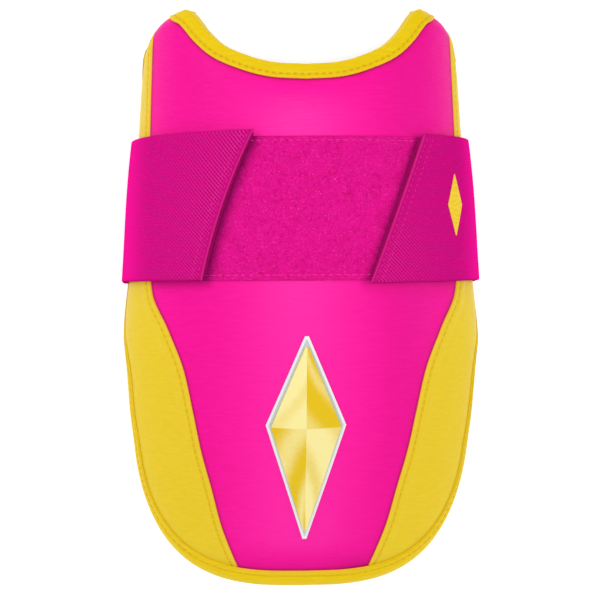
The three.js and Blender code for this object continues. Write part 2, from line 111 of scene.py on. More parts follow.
def face_point(angle, along):
    """Point of the foam's outer face: a superellipse by angle, whose sizes change along the guard, with
    the two upper corners turned over on a small radius."""
    angle, along = np.broadcast_arrays(angle, along)
    width, height, base = section(along)
    up = np.abs(np.cos(angle)) / height
    out = np.abs(np.sin(angle)) / width
    radius = (up**SECTION_POWER + out**SECTION_POWER) ** (-1 / SECTION_POWER)
    degrees = np.abs(np.degrees(angle))
    share = smooth(degrees, *CURL_ANGLES)
    past = np.clip((degrees - CURL_START_ANGLE) / CURL_DROP_ANGLE, -1, 1)
    start = CURL_START - CURL_START_DROP * np.sin(past * np.pi / 2)
    turn = np.maximum(along - start, 0) / CURL_RADIUS
    drawn = np.where(turn > 0, start + CURL_RADIUS * np.sin(turn) - along, 0)
    r = radius - share * CURL_RADIUS * (1 - np.cos(turn))
    y = along + share * drawn - MIDDLE_ALONG
    return np.stack([r * np.sin(angle), y, base + r * np.cos(angle)], axis=-1)


def unit(vectors):
    """Vectors scaled to a length of one."""
    return vectors / np.linalg.norm(vectors, axis=-1, keepdims=True)


def face_frame(angle, along):
    """Slopes of the face by angle and by distance along, and its outward normal."""
    step = 1e-3
    across = (face_point(angle + step, along) - face_point(angle - step, along)) / (2 * step)
    forward = (face_point(angle, along + step) - face_point(angle, along - step)) / (2 * step)
    return across, forward, unit(np.cross(across, forward))


def raised(angle, along, offset):
    """Point that stands off the face by an offset along its normal."""
    angle, along = np.broadcast_arrays(angle, along)
    normal = face_frame(angle, along)[2]
    return face_point(angle, along) + normal * np.broadcast_to(offset, angle.shape)[..., None]


LOBE_HALF_WIDTH = 74.5
LOBE_BOTTOM = 1.5
LOBE_WIDEST = 98
LOBE_POWER = 3.08
LOBE_FLARE = 1.75
LOBE_FLARE_ALONG = (62, 98)
LOBE_STEPS = 18
# Columns: distance along, height of the edge
SIDE_EDGE = np.array([(110, 10), (126, 7.2), (145, 5), (175, 4.2), (205, 4.2)])
# Columns: angle in degrees, distance along
TOP_EDGE = np.array([
    (99, 219),
    (97, 225),
    (94, 231),
    (90, 237),
    (86, 242.5),
    (82, 247),
    (78, 250.8),
    (74, 253.6),
    (70, 254.8),
    (66.5, 254),
    (63, 252.2),
    (59.5, 250.4),
    (56, 248.2),
    (52.5, 244.6),
    (49.3, 241),
    (41.5, 234.4),
    (28.5, 228.8),
    (17, 226),
    (0, 225),
])
DEGREE_ARC = 1.2
OUTLINE_POINTS = 720
CURVE_STEPS = 60


def run_along(points):
    """Distance along each line of points, from its first point."""
    steps = np.linalg.norm(np.diff(points, axis=-2), axis=-1)
    return np.concatenate([0 * steps[..., :1], np.cumsum(steps, axis=-1)], axis=-1)


def spaced_curve(keys, count):
    """Evenly spaced points on a centripetal Catmull-Rom curve through the keys."""
    chain = np.vstack([2 * keys[0] - keys[1], keys, 2 * keys[-1] - keys[-2]])
    knot = np.linalg.norm(np.diff(chain, axis=0), axis=1)[:, None] ** 0.5
    a, b, c, d = chain[:-3], chain[1:-2], chain[2:-1], chain[3:]
    first, middle, last = knot[:-2], knot[1:-1], knot[2:]
    leave = ((b - a) / first - (c - a) / (first + middle)) * middle + c - b
    reach = ((d - c) / last - (d - b) / (middle + last)) * middle + c - b
    t = np.linspace(0, 1, CURVE_STEPS, endpoint=False)[:, None, None]
    bend = 3 * (c - b) - 2 * leave - reach
    twist = 2 * (b - c) + leave + reach
    path = b + leave * t + bend * t**2 + twist * t**3
    path = np.vstack([path.transpose(1, 0, 2).reshape(-1, 2), keys[-1:]])
    run = run_along(path)
    place = np.linspace(0, run[-1], count + 1)
    return np.stack([np.interp(place, run, path[:, column]) for column in (0, 1)], axis=1)


def half_outline():
    """Right half of the shell's outline as angle and distance along: a quarter of a superellipse round the
    lobe that flares to its widest line, then the low side edge, then over the corner to the middle of the
    scoop."""
    turn = np.linspace(0, np.pi / 2, LOBE_STEPS + 1)
    along = LOBE_WIDEST - (LOBE_WIDEST - LOBE_BOTTOM) * np.cos(turn) ** (2 / LOBE_POWER)
    flare = LOBE_FLARE * smooth(along, *LOBE_FLARE_ALONG)
    side = LOBE_HALF_WIDTH * np.sin(turn) ** (2 / LOBE_POWER) + flare
    lobe = np.stack([np.degrees(angle_at_side(along, side)), along], axis=1)
    edge_angle = np.degrees(angle_at_height(SIDE_EDGE[:, 0], SIDE_EDGE[:, 1]))
    low_edge = np.stack([edge_angle, SIDE_EDGE[:, 0]], axis=1)
    arc = np.array([DEGREE_ARC, 1])
    curve = spaced_curve(np.vstack([lobe, low_edge, TOP_EDGE]) * arc, OUTLINE_POINTS) / arc
    return np.radians(curve[:, 0]), curve[:, 1]


outline_angle, outline_along = half_outline()
outline_face = face_point(outline_angle, outline_along)


def outline_place(station):
    """Angle and distance along at a station of the outline: up the right half, then down the left one."""
    turned = np.mod(station, 2 * OUTLINE_POINTS)
    left = turned > OUTLINE_POINTS
    place = np.where(left, 2 * OUTLINE_POINTS - turned, turned)
    index = np.arange(OUTLINE_POINTS + 1)
    angle = np.interp(place, index, outline_angle)
    return np.where(left, -angle, angle), np.interp(place, index, outline_along)


def edge_place(station, inward):
    """Place that lies inward of a station of the outline, square to the outline over the face."""
    station, inward = np.broadcast_arrays(station, inward)
    step = 2
    angle, along = outline_place(station)
    across, forward, normal = face_frame(angle, along)
    travel = face_point(*outline_place(station + step)) - face_point(*outline_place(station - step))
    square = unit(np.cross(normal, travel))

    def dot(a, b):
        return np.sum(a * b, axis=-1)

    cross = dot(across, forward)
    area = dot(across, across) * dot(forward, forward) - cross**2
    turn = dot(across, square) * dot(forward, forward) - dot(forward, square) * cross
    climb = dot(forward, square) * dot(across, across) - dot(across, square) * cross
    return angle + inward * turn / area, along + inward * climb / area


def edge_distance(points):
    """Distance from points of the face to the nearest point of the outline on their own half, worked out
    for some thousands of points at once."""
    at_once = 4000
    flat = points.reshape(-1, 3) * 1.0
    flat[:, 0] = np.abs(flat[:, 0])
    reach = np.sum(outline_face**2, axis=1)
    nearest = [
        np.min(np.sum(part**2, axis=1)[:, None] + reach - 2 * part @ outline_face.T, axis=1)
        for part in np.array_split(flat, len(flat) // at_once + 1)
    ]
    return np.sqrt(np.maximum(np.concatenate(nearest), 0)).reshape(points.shape[:-1])


EDGE_PINCH = 2.25
EDGE_PINCH_WIDTH = 14


def edge_pinch(distance):
    """Depth by which the sewn edge is pressed in: a parabola that ends at the pinch's width."""
    return EDGE_PINCH * np.maximum(1 - distance / EDGE_PINCH_WIDTH, 0) ** 2


# Columns: distance along, distance of the seam from the middle
SEAM = np.array([
    (-5, 24),
    (10, 28.6),
    (28, 35.3),
    (45, 39.7),
    (62, 44.2),
    (80, 47.8),
    (98, 51.7),
    (115, 58.1),
    (130, 64.2),
    (165, 65.3),
    (200, 64.4),
    (262, 62.2),
])
LOBE_CORNER = 24
TOP_CORNER_ANGLE = 88


def seam_angle(along):
    """Angle of the seam between the front panel and a side panel."""
    return angle_at_side(along, along_table(SEAM, 1, along))


beyond_seam = np.flatnonzero(outline_angle > seam_angle(outline_along))
seam_low = beyond_seam[0]
seam_high = beyond_seam[-1]
lobe_corner = np.flatnonzero(outline_along[seam_low:] > LOBE_CORNER)[0] + seam_low
top_corner = np.flatnonzero(outline_angle > np.radians(TOP_CORNER_ANGLE))[-1]


def filled(low, high, left, right, u, v):
    """Coons patch: the four boundary curves blended across and along, less the blend of the corners."""
    u = u[None, :, None]
    v = v[:, None, None]
    low, high, left, right = (np.stack(curve, axis=-1) for curve in (low, high, left, right))
    straight = left[:, None] * (1 - u) + right[:, None] * u + low * (1 - v) + high * v
    corners = (low[0] * (1 - u) + low[-1] * u) * (1 - v) + (high[0] * (1 - u) + high[-1] * u) * v
    grid = straight - corners
    return grid[..., 0], grid[..., 1]


def seam_place(share):
    """Place on the right seam, by share of the way from the round end to the scoop."""
    along = outline_along[seam_low] + (outline_along[seam_high] - outline_along[seam_low]) * share
    return seam_angle(along), along


def front_places(u, v):
    """Grid over the front panel, from the left seam to the right one and from round end to scoop."""
    low = outline_place(seam_low * (2 * u - 1))
    high = outline_place(OUTLINE_POINTS + (OUTLINE_POINTS - seam_high) * (1 - 2 * u))
    angle, along = seam_place(v)
    return filled(low, high, (-angle, along), (angle, along), u, v)


def side_places(u, v):
    """Grid over the right side panel, from the seam to the edge and from the round end to the corner."""
    low = outline_place(seam_low + (lobe_corner - seam_low) * u)
    high = outline_place(seam_high + (top_corner - seam_high) * u)
    edge = outline_place(lobe_corner + (top_corner - lobe_corner) * v)
    return filled(low, high, seam_place(v), edge, u, v)


def grid_quads(height, width):
    """Corner indices of a grid's cells, counter-clockwise seen from outside."""
    index = np.arange(height * width).reshape(height, width)
    corners = [index[:-1, :-1], index[:-1, 1:], index[1:, 1:], index[1:, :-1]]
    return np.stack(corners, axis=-1).reshape(-1, 4)


def wall_quads(height, width):
    """Faces of a closed wall between an outer grid and an inner one that follows it in the list."""
    index = np.arange(height * width).reshape(height, width)
    rim = np.concatenate([index[0, :-1], index[:-1, -1], index[-1, :0:-1], index[:0:-1, 0]])
    next_rim = np.roll(rim, -1)
    inside = height * width
    outer = grid_quads(height, width)
    sides = np.stack([rim + inside, next_rim + inside, next_rim, rim], axis=-1)
    return np.vstack([outer, outer[:, ::-1] + inside, sides])


def add_object(name, data):
    """Object that holds a mesh, lamp or camera."""
    made = bpy.data.objects.new(name, data)
    bpy.context.scene.collection.objects.link(made)
    return made


def add_piece(name, points, faces, material, sharp=50):
    """Mesh object from points in millimetres and faces, smooth but for edges sharper than an angle."""
    mesh = bpy.data.meshes.new(name)
    mesh.from_pydata((points.reshape(-1, 3) * MM).tolist(), [], [face.tolist() for face in faces])
    mesh.shade_smooth()
    mesh.set_sharp_from_angle(angle=np.radians(sharp))
    mesh.materials.append(material)
    piece = add_object(name, mesh)
    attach(piece, "root")
    return piece


def add_wall(name, outer, inner, material, sharp=50):
    """Closed wall between two grids of points."""
    points = np.concatenate([outer.reshape(-1, 3), inner.reshape(-1, 3)])
    return add_piece(name, points, wall_quads(*outer.shape[:2]), material, sharp)


def add_layer(name, angle, along, top, bottom, material, slot, sharp=50):
    """Closed wall over a grid of places, between two offsets from the face."""
    return add_wall(name, raised(angle, along, top), raised(angle, along, bottom), material, sharp)


def mark(piece, name, values, domain="POINT"):
    """Stores one number for each point or face of a piece, for its material to read. Values that are given
    for one face of a wall are used for its other face too."""
    attribute = piece.data.attributes.new(name, "FLOAT", domain)
    attribute.data.foreach_set("value", np.resize(values, len(attribute.data)).astype(np.float32))


class Wire:
    """A shader value: Python's arithmetic on it adds Math nodes."""

    def __init__(self, finish, socket):
        self.finish = finish
        self.socket = socket

    def math(self, operation, first, second=0.0):
        return self.finish.node("ShaderNodeMath", {"operation": operation}, {0: first, 1: second})

    def __add__(self, other):
        return self.math("ADD", self, other)

    def __radd__(self, other):
        return self.math("ADD", other, self)

    def __sub__(self, other):
        return self.math("SUBTRACT", self, other)

    def __rsub__(self, other):
        return self.math("SUBTRACT", other, self)

    def __mul__(self, other):
        return self.math("MULTIPLY", self, other)

    def __rmul__(self, other):
        return self.math("MULTIPLY", other, self)

    def sine(self):
        return self.math("SINE", self)


class Finish:
    """A node material. Every node of it is added by node()."""

    def __init__(self, name):
        self.material = bpy.data.materials.new(name)
        self.material.use_nodes = True
        self.material.node_tree.nodes.clear()

    def node(self, kind, settings, sockets, output=0):
        """Adds a node by its type: first its settings, then values or links for its sockets."""
        tree = self.material.node_tree
        made = tree.nodes.new(kind)
        for key, value in settings.items():
            setattr(made, key, value)
        for key, value in sockets.items():
            if isinstance(value, Wire):
                tree.links.new(value.socket, made.inputs[key])
            else:
                made.inputs[key].default_value = value
        return Wire(self, made.outputs[output]) if made.outputs else None

    def object_place(self, scale):
        """Object coordinates stretched by a scale along each axis."""
        place = self.node("ShaderNodeTexCoord", {}, {}, "Object")
        return self.node("ShaderNodeMapping", {"vector_type": "POINT"}, {"Vector": place, "Scale": scale})

    def value_of(self, name):
        """A number that is stored on the piece's points or faces."""
        return self.node("ShaderNodeAttribute", {"attribute_name": name}, {}, "Fac")

    def noise(self, scale, detail=2.0, roughness=0.5):
        """Noise with features of about one metre over the scale along each axis, from 0 to 1."""
        place = self.object_place(scale)
        sockets = {"Vector": place, "Scale": 1.0, "Detail": detail, "Roughness": roughness}
        return self.node("ShaderNodeTexNoise", {}, sockets, "Fac")

    def cells(self, scale):
        """Distance from the middle of the nearest random cell."""
        sockets = {"Vector": self.object_place(scale), "Scale": 1.0}
        return self.node("ShaderNodeTexVoronoi", {"feature": "F1"}, sockets, "Distance")

    def ramp(self, value, low, high):
        """Share from 0 at low to 1 at high, smooth between them."""
        settings = {"interpolation_type": "SMOOTHSTEP"}
        sockets = {"Value": value, "From Min": low, "From Max": high}
        return self.node("ShaderNodeMapRange", settings, sockets)

    def tint(self, share, first, second):
        """Colour between two colours."""
        sockets = {0: share, 6: first, 7: second}
        return self.node("ShaderNodeMix", {"data_type": "RGBA"}, sockets, 2)

    def bump(self, height, strength, distance):
        """Normal bent by a height that is given in shares of a distance in metres."""
        sockets = {"Height": height, "Strength": strength, "Distance": distance}
        return self.node("ShaderNodeBump", {}, sockets)

    def surface(self, sockets):
        """Closes the material with one principled shader."""
        shader = self.node("ShaderNodeBsdfPrincipled", {}, sockets)
        self.node("ShaderNodeOutputMaterial", {}, {"Surface": shader})
        return self.material


def srgb(red, green, blue):
    """Linear colour of a screen colour given in 0 to 255."""
    share = np.array([red, green, blue]) / 255
    linear = np.where(share <= 0.04045, share / 12.92, ((share + 0.055) / 1.055) ** 2.4)
    return (*linear.tolist(), 1.0)


LINING_DARK = srgb(34, 34, 38)
LINING_LIGHT = srgb(58, 58, 64)
# Loops in a metre, across, along and up
KNIT = (800, 1600, 800)


def lining_finish():
    """Charcoal knit: small loops as stretched cells, with a fleck of lighter yarn and soft clouds."""
    finish = Finish("charcoal_knit")
    fleck = finish.noise((900, 900, 900), detail=3)
    loops = finish.cells(KNIT)
    cloud = finish.noise((30, 30, 30))
    return finish.surface({
        "Base Color": finish.tint(fleck * 0.7 + cloud * 0.3, LINING_DARK, LINING_LIGHT),
        "Roughness": 0.82 + 0.12 * fleck,
        "Specular IOR Level": 0.25,
        "Normal": finish.bump(1 - loops, strength=0.5, distance=0.0004),
    })


FOAM_THICKNESS = 8.5
FOAM_EDGE_THICKNESS = 3
FOAM_TAPER = (6.5, 28)
FOAM_CELLS = {"along": 190, "front": 110, "side": 40}


def foam_thickness(distance):
    """Thin under the binding, and full a little way in from it."""
    return FOAM_EDGE_THICKNESS + (FOAM_THICKNESS - FOAM_EDGE_THICKNESS) * smooth(distance, *FOAM_TAPER)


def shares(cells):
    """Evenly spaced shares from 0 to 1."""
    return np.linspace(0, 1, cells + 1)


def shell_places(cells):
    """Grid over the whole shell: the left side mirrored from the right one, the front, the right side."""
    v = shares(cells["along"])
    front = front_places(shares(cells["front"]), v)
    right = side_places(shares(cells["side"]), v)
    left_angle = -right[0][:, :0:-1]
    left_along = right[1][:, :0:-1]
    angle = np.hstack([left_angle, front[0], right[0][:, 1:]])
    return angle, np.hstack([left_along, front[1], right[1][:, 1:]])


foam_places = shell_places(FOAM_CELLS)
foam_distance = edge_distance(face_point(*foam_places))
foam_face = -edge_pinch(foam_distance)
foam_lining = foam_face - foam_thickness(foam_distance)
foam_wall = add_layer("foam_wall", *foam_places, foam_face, foam_lining, lining_finish(), "lining")
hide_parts("pad_body")


# Front panel: one piece of pink coated leather, stretched over the foam from the scoop to the round end.
# Its side edges run under the folded edges of the yellow panels and its ends under the binding.
PINK = srgb(252, 22, 158)
PINK_DEEP = srgb(244, 17, 148)
# Tones of the pink: a painted highlight along the crown, painted shade, and deeper painted shade under the
# folds and the binding
PINK_TONES = {"crown": srgb(255, 60, 180), "painted_shade": srgb(196, 8, 118), "seam_shade": srgb(136, 5, 48)}
CLEARANCE = 0.33
LEATHER = 1.2
SEAM_GAP = 0.3
FRONT_CELLS = {"across": 180, "along": 250}


def leather(name, colour, deep, tones):
    """Coated leather: fine wrinkles that run across and a faint pebble grain. Tones gives the colour that
    the coat turns to where a mark of the piece is 1: painted light and shade, such as a painted highlight on
    a folded rim or along the crown, and painted shade beside a seam."""
    finish = Finish(name)
    wrinkles = finish.noise((110, 1000, 330), detail=3, roughness=0.6)
    pebbles = finish.cells((900, 1300, 900))
    cloud = finish.noise((16, 11, 16))
    body = finish.tint(finish.ramp(0.3 * cloud + 0.7 * wrinkles, low=0.32, high=0.68), colour, deep)
    for mark_name, tone in tones.items():
        body = finish.tint(finish.value_of(mark_name), body, tone)
    return finish.surface({
        "Base Color": body,
        "Roughness": 0.3 + 0.16 * wrinkles,
        "Specular IOR Level": 0.06,
        "Normal": finish.bump(0.7 * wrinkles + 0.3 * pebbles, strength=0.32, distance=0.0005),
    })


def drawn_back(angle, along, side):
    """Angle moved by half the gap between two panels, towards the middle for side -1."""
    across = face_frame(angle, along)[0]
    return angle + side * SEAM_GAP / 2 / np.linalg.norm(across, axis=-1)


def seam_distance(angle, along):
    """Distance from a place to the nearer seam, square to it, in millimetres over the face."""
    step = 0.5
    across, forward, _ = face_frame(angle, along)
    turn = (seam_angle(along + step) - seam_angle(along - step)) / (2 * step)
    travel = unit(across * np.where(angle < 0, -turn, turn)[..., None] + forward)
    width = np.linalg.norm(np.cross(across, travel), axis=-1)
    return np.abs(np.abs(angle) - seam_angle(along)) * width


front_angle, front_along = front_places(shares(FRONT_CELLS["across"]), shares(FRONT_CELLS["along"]))
front_angle[:, 0] = drawn_back(front_angle[:, 0], front_along[:, 0], 1)
front_angle[:, -1] = drawn_back(front_angle[:, -1], front_along[:, -1], -1)
front_face = face_point(front_angle, front_along)
front_edge = edge_distance(front_face)
front_seam = seam_distance(front_angle, front_along)
front_top = CLEARANCE + LEATHER - edge_pinch(front_edge)
pink_leather = leather("pink_leather", PINK, PINK_DEEP, PINK_TONES)
front_leather = add_layer(
    "front_leather", front_angle, front_along, front_top, front_top - LEATHER, pink_leather, "pink_leather"
)

LEG_ROUND_END = 7.6
LEG_SCOOP = 5.2
LEG_CHANGE = (20, 200)
SEAM_SHADE_WIDTH = 0.5
STRAP_MIDDLE = 165.4
STRAP_WIDTH = 62
# Columns: side, distance of the slanted end from the middle at the low edge and at the high edge, rise
STRAP_ENDS = {"left": (-1, 42, 21.2, 1.8), "right": (1, 25.6, 47.1, 0)}
# Painted shadow of the strap ends on the pink, and painted shade inside the round end, beside the seams and
# on the flanks
# Columns: 1 below the strap and -1 above it, column of the strap's ends, depth
STRAP_SHADES = ((1, 1, 0.75), (-1, 2, 0.3))
STRAP_SHADE_WIDTH = 2.4
STRAP_SHADE_FADE = 5
END_SHADE = 0.55
END_SHADE_RIGHT = 0.4
END_SHADE_SIDES = (5, 26)
END_SHADE_TOP = 30
END_SHADE_WIDTH = 6.5
# Left and right of the middle
SEAM_PAINTED_SHADE = (0.14, 0.3)
PAINTED_SEAM_SHADE_REACH = 8
FLANK_PAINTED_SHADE = (0.15, 0.27)
FLANK_PLACE = 44.5
FLANK_WIDTH = 16
# Painted highlight along the crown of the pink: a bell across the middle that fades in from the binding
CROWN_PAINTED_HIGHLIGHT = 0.4
CROWN_WIDTH = 22
CROWN_PLACE = -2.5
CROWN_FADE = (3, 18)


def binding_leg(along):
    """Width of the binding over the face: wider round the lobe than along the scoop."""
    return LEG_ROUND_END + (LEG_SCOOP - LEG_ROUND_END) * smooth(along, *LEG_CHANGE)


def bell(distance, width):
    """Bell curve: 1 at no distance, and 1 / e at its width on both sides."""
    return np.exp(-((distance / width) ** 2))


def fade(distance, width):
    """Fade from 1 at no distance or less, by a factor of e over each width."""
    return np.exp(-np.maximum(distance, 0) / width)


def painted_pink_shade(side):
    """Painted shade on the pink, the deepest of its bands: a fade beside each seam, a broad bell on each
    flank, a soft painted shadow below and above each strap end, and a band inside the round end."""
    to_right = front_angle > 0
    bands = [
        np.where(to_right, *SEAM_PAINTED_SHADE[::-1]) * fade(front_seam, PAINTED_SEAM_SHADE_REACH),
        np.where(to_right, *FLANK_PAINTED_SHADE[::-1]) * bell(np.abs(side) - FLANK_PLACE, FLANK_WIDTH),
    ]
    for below, column, depth in STRAP_SHADES:
        covered = [
            smooth(end[0] * side, end[column] - STRAP_SHADE_FADE, end[column])
            for end in STRAP_ENDS.values()
        ]
        away = (STRAP_MIDDLE - front_along) * below - STRAP_WIDTH / 2
        near = np.where(away > -STRAP_WIDTH / 2, fade(away, STRAP_SHADE_WIDTH), 0)
        bands.append(depth * np.max(covered, axis=0) * near)
    round_end = np.maximum(front_edge - LEG_ROUND_END, 0) + np.maximum(front_along - END_SHADE_TOP, 0)
    end_shade = END_SHADE + END_SHADE_RIGHT * smooth(side, *END_SHADE_SIDES)
    bands.append(end_shade * fade(round_end, END_SHADE_WIDTH))
    return np.max(bands, axis=0)


under_fold = fade(front_seam, SEAM_SHADE_WIDTH)
inside_binding = front_edge - binding_leg(front_along)
painted_highlight_bell = bell(front_face[..., 0] - CROWN_PLACE, CROWN_WIDTH)
# Painted shade on the pink just beside the yellow folds and just inside the binding
mark(front_leather, "seam_shade", np.maximum(under_fold, fade(inside_binding, SEAM_SHADE_WIDTH)))
# Painted shade on the pink: beside the seams, on the flanks, round the strap ends and inside the round end
mark(front_leather, "painted_shade", painted_pink_shade(front_face[..., 0]))
# Painted highlight along the crown of the pink
mark(front_leather, "crown", CROWN_PAINTED_HIGHLIGHT * painted_highlight_bell * smooth(inside_binding, *CROWN_FADE))
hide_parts("front_panel")


# Side panels: yellow coated leather over the two sides. The edge beside the pink is folded under, lapped on
# it and top-stitched, so it stands as a rounded rim with a stitched groove behind it.
YELLOW = srgb(233, 202, 48)
YELLOW_DEEP = srgb(229, 197, 40)
# Tones of the yellow: a painted highlight on a folded rim, and painted shade at the seams and stitches
YELLOW_TONES = {"rim": srgb(250, 190, 66), "seam_shade": srgb(170, 118, 8)}
FOLD_RISE = 0.7
FOLD_WIDTH = (4.2, 8.0)
FOLD_ROUND = 0.9
FOLD_FADE = (8, 13)
TOP_STITCH_INSET = 2.6
TOP_STITCH_PITCH = 3.1
TOP_STITCH_CLEAR = 0.6
GROOVE_DEPTH = 0.26
GROOVE_WIDTH = 0.7
STITCH_HOLE = 0.5
HOLE_SHADE = 0.42
ROW_SHADE = 0.12
HEM_SHADE = 0.22
RIM_HIGHLIGHT_WIDTH = 0.42
SEAM_LINE_ENDS = (0.012, 0.985)
SEAM_LINE_POINTS = 700
SIDE_CELLS = {"across": 64, "along": 480}
SIDE_CROWDING = 1.7


def fold_height(distance, edge):
    """Rise of the folded edge: a plateau beside the seam that fades out, with a round rim at the seam."""
    plateau = FOLD_RISE * (1 - smooth(distance, *FOLD_WIDTH)) * smooth(edge, *FOLD_FADE)
    inside = np.clip(1 - distance / FOLD_ROUND, 0, 1)
    return plateau - FOLD_ROUND * (1 - np.sqrt(1 - inside**2))


def seam_line():
    """Line of the top stitches on the right side, as angle, distance along and distance from the edge, from
    where it comes out of the binding to where it goes under it again."""
    step = 0.001
    along = seam_place(np.linspace(*SEAM_LINE_ENDS, SEAM_LINE_POINTS))[1]
    slant = seam_distance(seam_angle(along) + step, along) / step
    angle = seam_angle(along) + TOP_STITCH_INSET / slant
    edge = edge_distance(face_point(angle, along))
    sewn = edge > binding_leg(along) + TOP_STITCH_CLEAR
    return angle[sewn], along[sewn], edge[sewn]


def stitch_holes(distance, stitches):
    """Painted shade in spots where the thread goes in: a bell across the row, and one round each whole
    stitch.
    """
    along_row = (stitches - np.round(stitches)) * TOP_STITCH_PITCH
    return bell(distance, STITCH_HOLE) * bell(along_row, STITCH_HOLE)


seam_line_angle, seam_line_along, seam_line_edge = seam_line()
seam_line_run = run_along(face_point(seam_line_angle, seam_line_along))
seam_stitches = round(seam_line_run[-1] / TOP_STITCH_PITCH)

side_u = shares(SIDE_CELLS["across"]) ** SIDE_CROWDING
side_angle, side_along = side_places(side_u, shares(SIDE_CELLS["along"]))
side_angle[:, 0] = drawn_back(side_angle[:, 0], side_along[:, 0], 1)
side_edge = edge_distance(face_point(side_angle, side_along))
side_seam = seam_distance(side_angle, side_along)
side_base = CLEARANCE - edge_pinch(side_edge)
side_row = side_seam - TOP_STITCH_INSET
side_relief = fold_height(side_seam, side_edge) - GROOVE_DEPTH * bell(side_row, GROOVE_WIDTH)
side_outer = raised(side_angle, side_along, side_base + LEATHER + side_relief)
side_inner = raised(side_angle, side_along, side_base)
side_stitch = np.interp(side_along, seam_line_along, seam_line_run * seam_stitches / seam_line_run[-1])
# Painted shade: spots at the stitch holes, a line along the stitched groove, and a band under the binding
side_shades = [
    HOLE_SHADE * stitch_holes(side_row, side_stitch),
    ROW_SHADE * bell(side_row, STITCH_HOLE),
    HEM_SHADE * fade(side_edge - binding_leg(side_along), SEAM_SHADE_WIDTH),
]
# Marks of the side panels: painted shade at the stitches and under the binding, and a painted highlight on
# the folded rim
side_marks = {"seam_shade": np.max(side_shades, axis=0), "rim": bell(side_seam, RIM_HIGHLIGHT_WIDTH)}
yellow_leather = leather("yellow_leather", YELLOW, YELLOW_DEEP, YELLOW_TONES)

# The left side is mirrored, with its columns turned round so that its faces stay outwards
for side, sign in (("left", -1), ("right", 1)):
    mirror = np.array([sign, 1, 1])
    outer = side_outer[:, ::sign] * mirror
    inner = side_inner[:, ::sign] * mirror
    side_leather = add_wall(f"side_leather_{side}", outer, inner, yellow_leather)
    for name, values in side_marks.items():
        mark(side_leather, name, values[:, ::sign])
    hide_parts(f"side_panel_{side}")


# Edge binding: a strip of the same yellow leather, folded round the whole edge over foam and panels and
# sewn through from the front, so its stitched groove runs inside a soft rounded lip.
BINDING_YELLOW = srgb(236, 203, 24)
BINDING_DEEP = srgb(229, 194, 12)
BINDING_LEATHER = 0.9
BINDING_SEAT = 0.06
BINDING_UNDER = CLEARANCE + LEATHER + BINDING_SEAT
BINDING_TOP = BINDING_UNDER + BINDING_LEATHER
BINDING_SKIVE = 0.7
BINDING_ROOM = 0.6
BINDING_STATIONS = 1100
BINDING_STEPS = {"skive": 5, "leg": 26, "turn": 8, "lip": 7}
BINDING_STITCH_SHARE = 0.62
BINDING_PITCH = 3.0
BINDING_PUFF = 0.3
BINDING_CREASE = 0.2
BINDING_DIMPLE = 0.14
BINDING_GROOVE = 0.8
BINDING_TURN_FROM = 0.6
BINDING_TURN_HEIGHT = 0.8
GROOVE_SHADE = 0.07
DIMPLE_SHADE = 0.17
CORNER_NARROWING = 0.55
CORNER_ALONG = (225, 241)


def binding_section():
    """Closed section of the strip, as columns: share of the leg inwards of the edge, distance outwards of
    it, offset from the face and share of the foam's depth. It goes out over the top, round the edge, back
    along the lining, and home inside the web."""
    bottom = -CLEARANCE - BINDING_LEATHER
    half = BINDING_LEATHER / 2
    sweep = BINDING_ROOM + BINDING_LEATHER + BINDING_TURN_FROM
    height = sweep * BINDING_TURN_HEIGHT
    skive = np.linspace(0, np.pi / 2, BINDING_STEPS["skive"])
    leg = np.linspace(1, BINDING_TURN_FROM / LEG_ROUND_END, BINDING_STEPS["leg"])[1:]
    turn = np.linspace(0, np.pi / 2, BINDING_STEPS["turn"])[1:]
    lip = np.linspace(0, np.pi, BINDING_STEPS["lip"])
    crease = BINDING_CREASE * bell((leg - BINDING_STITCH_SHARE) * LEG_ROUND_END, BINDING_GROOVE)
    puff = BINDING_PUFF * np.sin(np.clip(1 - leg / BINDING_STITCH_SHARE, 0, 1) * np.pi)
    skive_out = BINDING_SKIVE * (1 - np.cos(skive))
    skive_up = BINDING_LEATHER * np.sin(skive)
    lip_out = half - half * np.sin(lip)
    lip_up = half - half * np.cos(lip)
    turn_out = sweep * np.sin(turn) - BINDING_TURN_FROM
    back_out = sweep * np.cos(turn) - BINDING_TURN_FROM
    back_leg = leg[::-2]
    parts = [
        (1 + 0 * skive, skive_out, BINDING_UNDER + skive_up, 0 * skive),
        (leg, 0 * leg, BINDING_TOP + puff - crease, 0 * leg),
        (0 * turn, turn_out, BINDING_TOP - height * (1 - np.cos(turn)), 0 * turn),
        (0 * turn, back_out, bottom + height * (1 - np.sin(turn)), 0 * turn + 1),
        (back_leg, 0 * back_leg, bottom + 0 * back_leg, 0 * back_leg + 1),
        (1 + 0 * lip, lip_out, bottom + lip_up, 0 * lip + 1),
        ([0, 0], [BINDING_ROOM, BINDING_ROOM], [-CLEARANCE, BINDING_UNDER], [1, 0]),
    ]
    return [np.concatenate(column) for column in zip(*parts)]


def ring_quads(rings, sides):
    """Faces of a tube that closes on itself both ways."""
    index = np.arange(rings * sides).reshape(rings, sides)
    across = np.roll(index, -1, axis=1)
    corners = [index, across, np.roll(across, -1, axis=0), np.roll(index, -1, axis=0)]
    return np.stack(corners, axis=-1).reshape(-1, 4)


binding_share, binding_out, binding_offset, binding_depth = binding_section()
binding_station = np.arange(BINDING_STATIONS) * 2 * OUTLINE_POINTS / BINDING_STATIONS
station_along = outline_place(binding_station)[1]
station_leg = binding_leg(station_along)
corner_leg = 1 - CORNER_NARROWING * smooth(station_along, *CORNER_ALONG)[:, None] * (binding_depth > 0)
binding_inward = station_leg[:, None] * binding_share * corner_leg - binding_out
binding_angle, binding_along = edge_place(binding_station[:, None], binding_inward)
binding_distance = np.maximum(binding_inward, 0)
binding_sink = binding_depth * foam_thickness(binding_distance)
binding_level = binding_offset - binding_sink - edge_pinch(binding_distance)

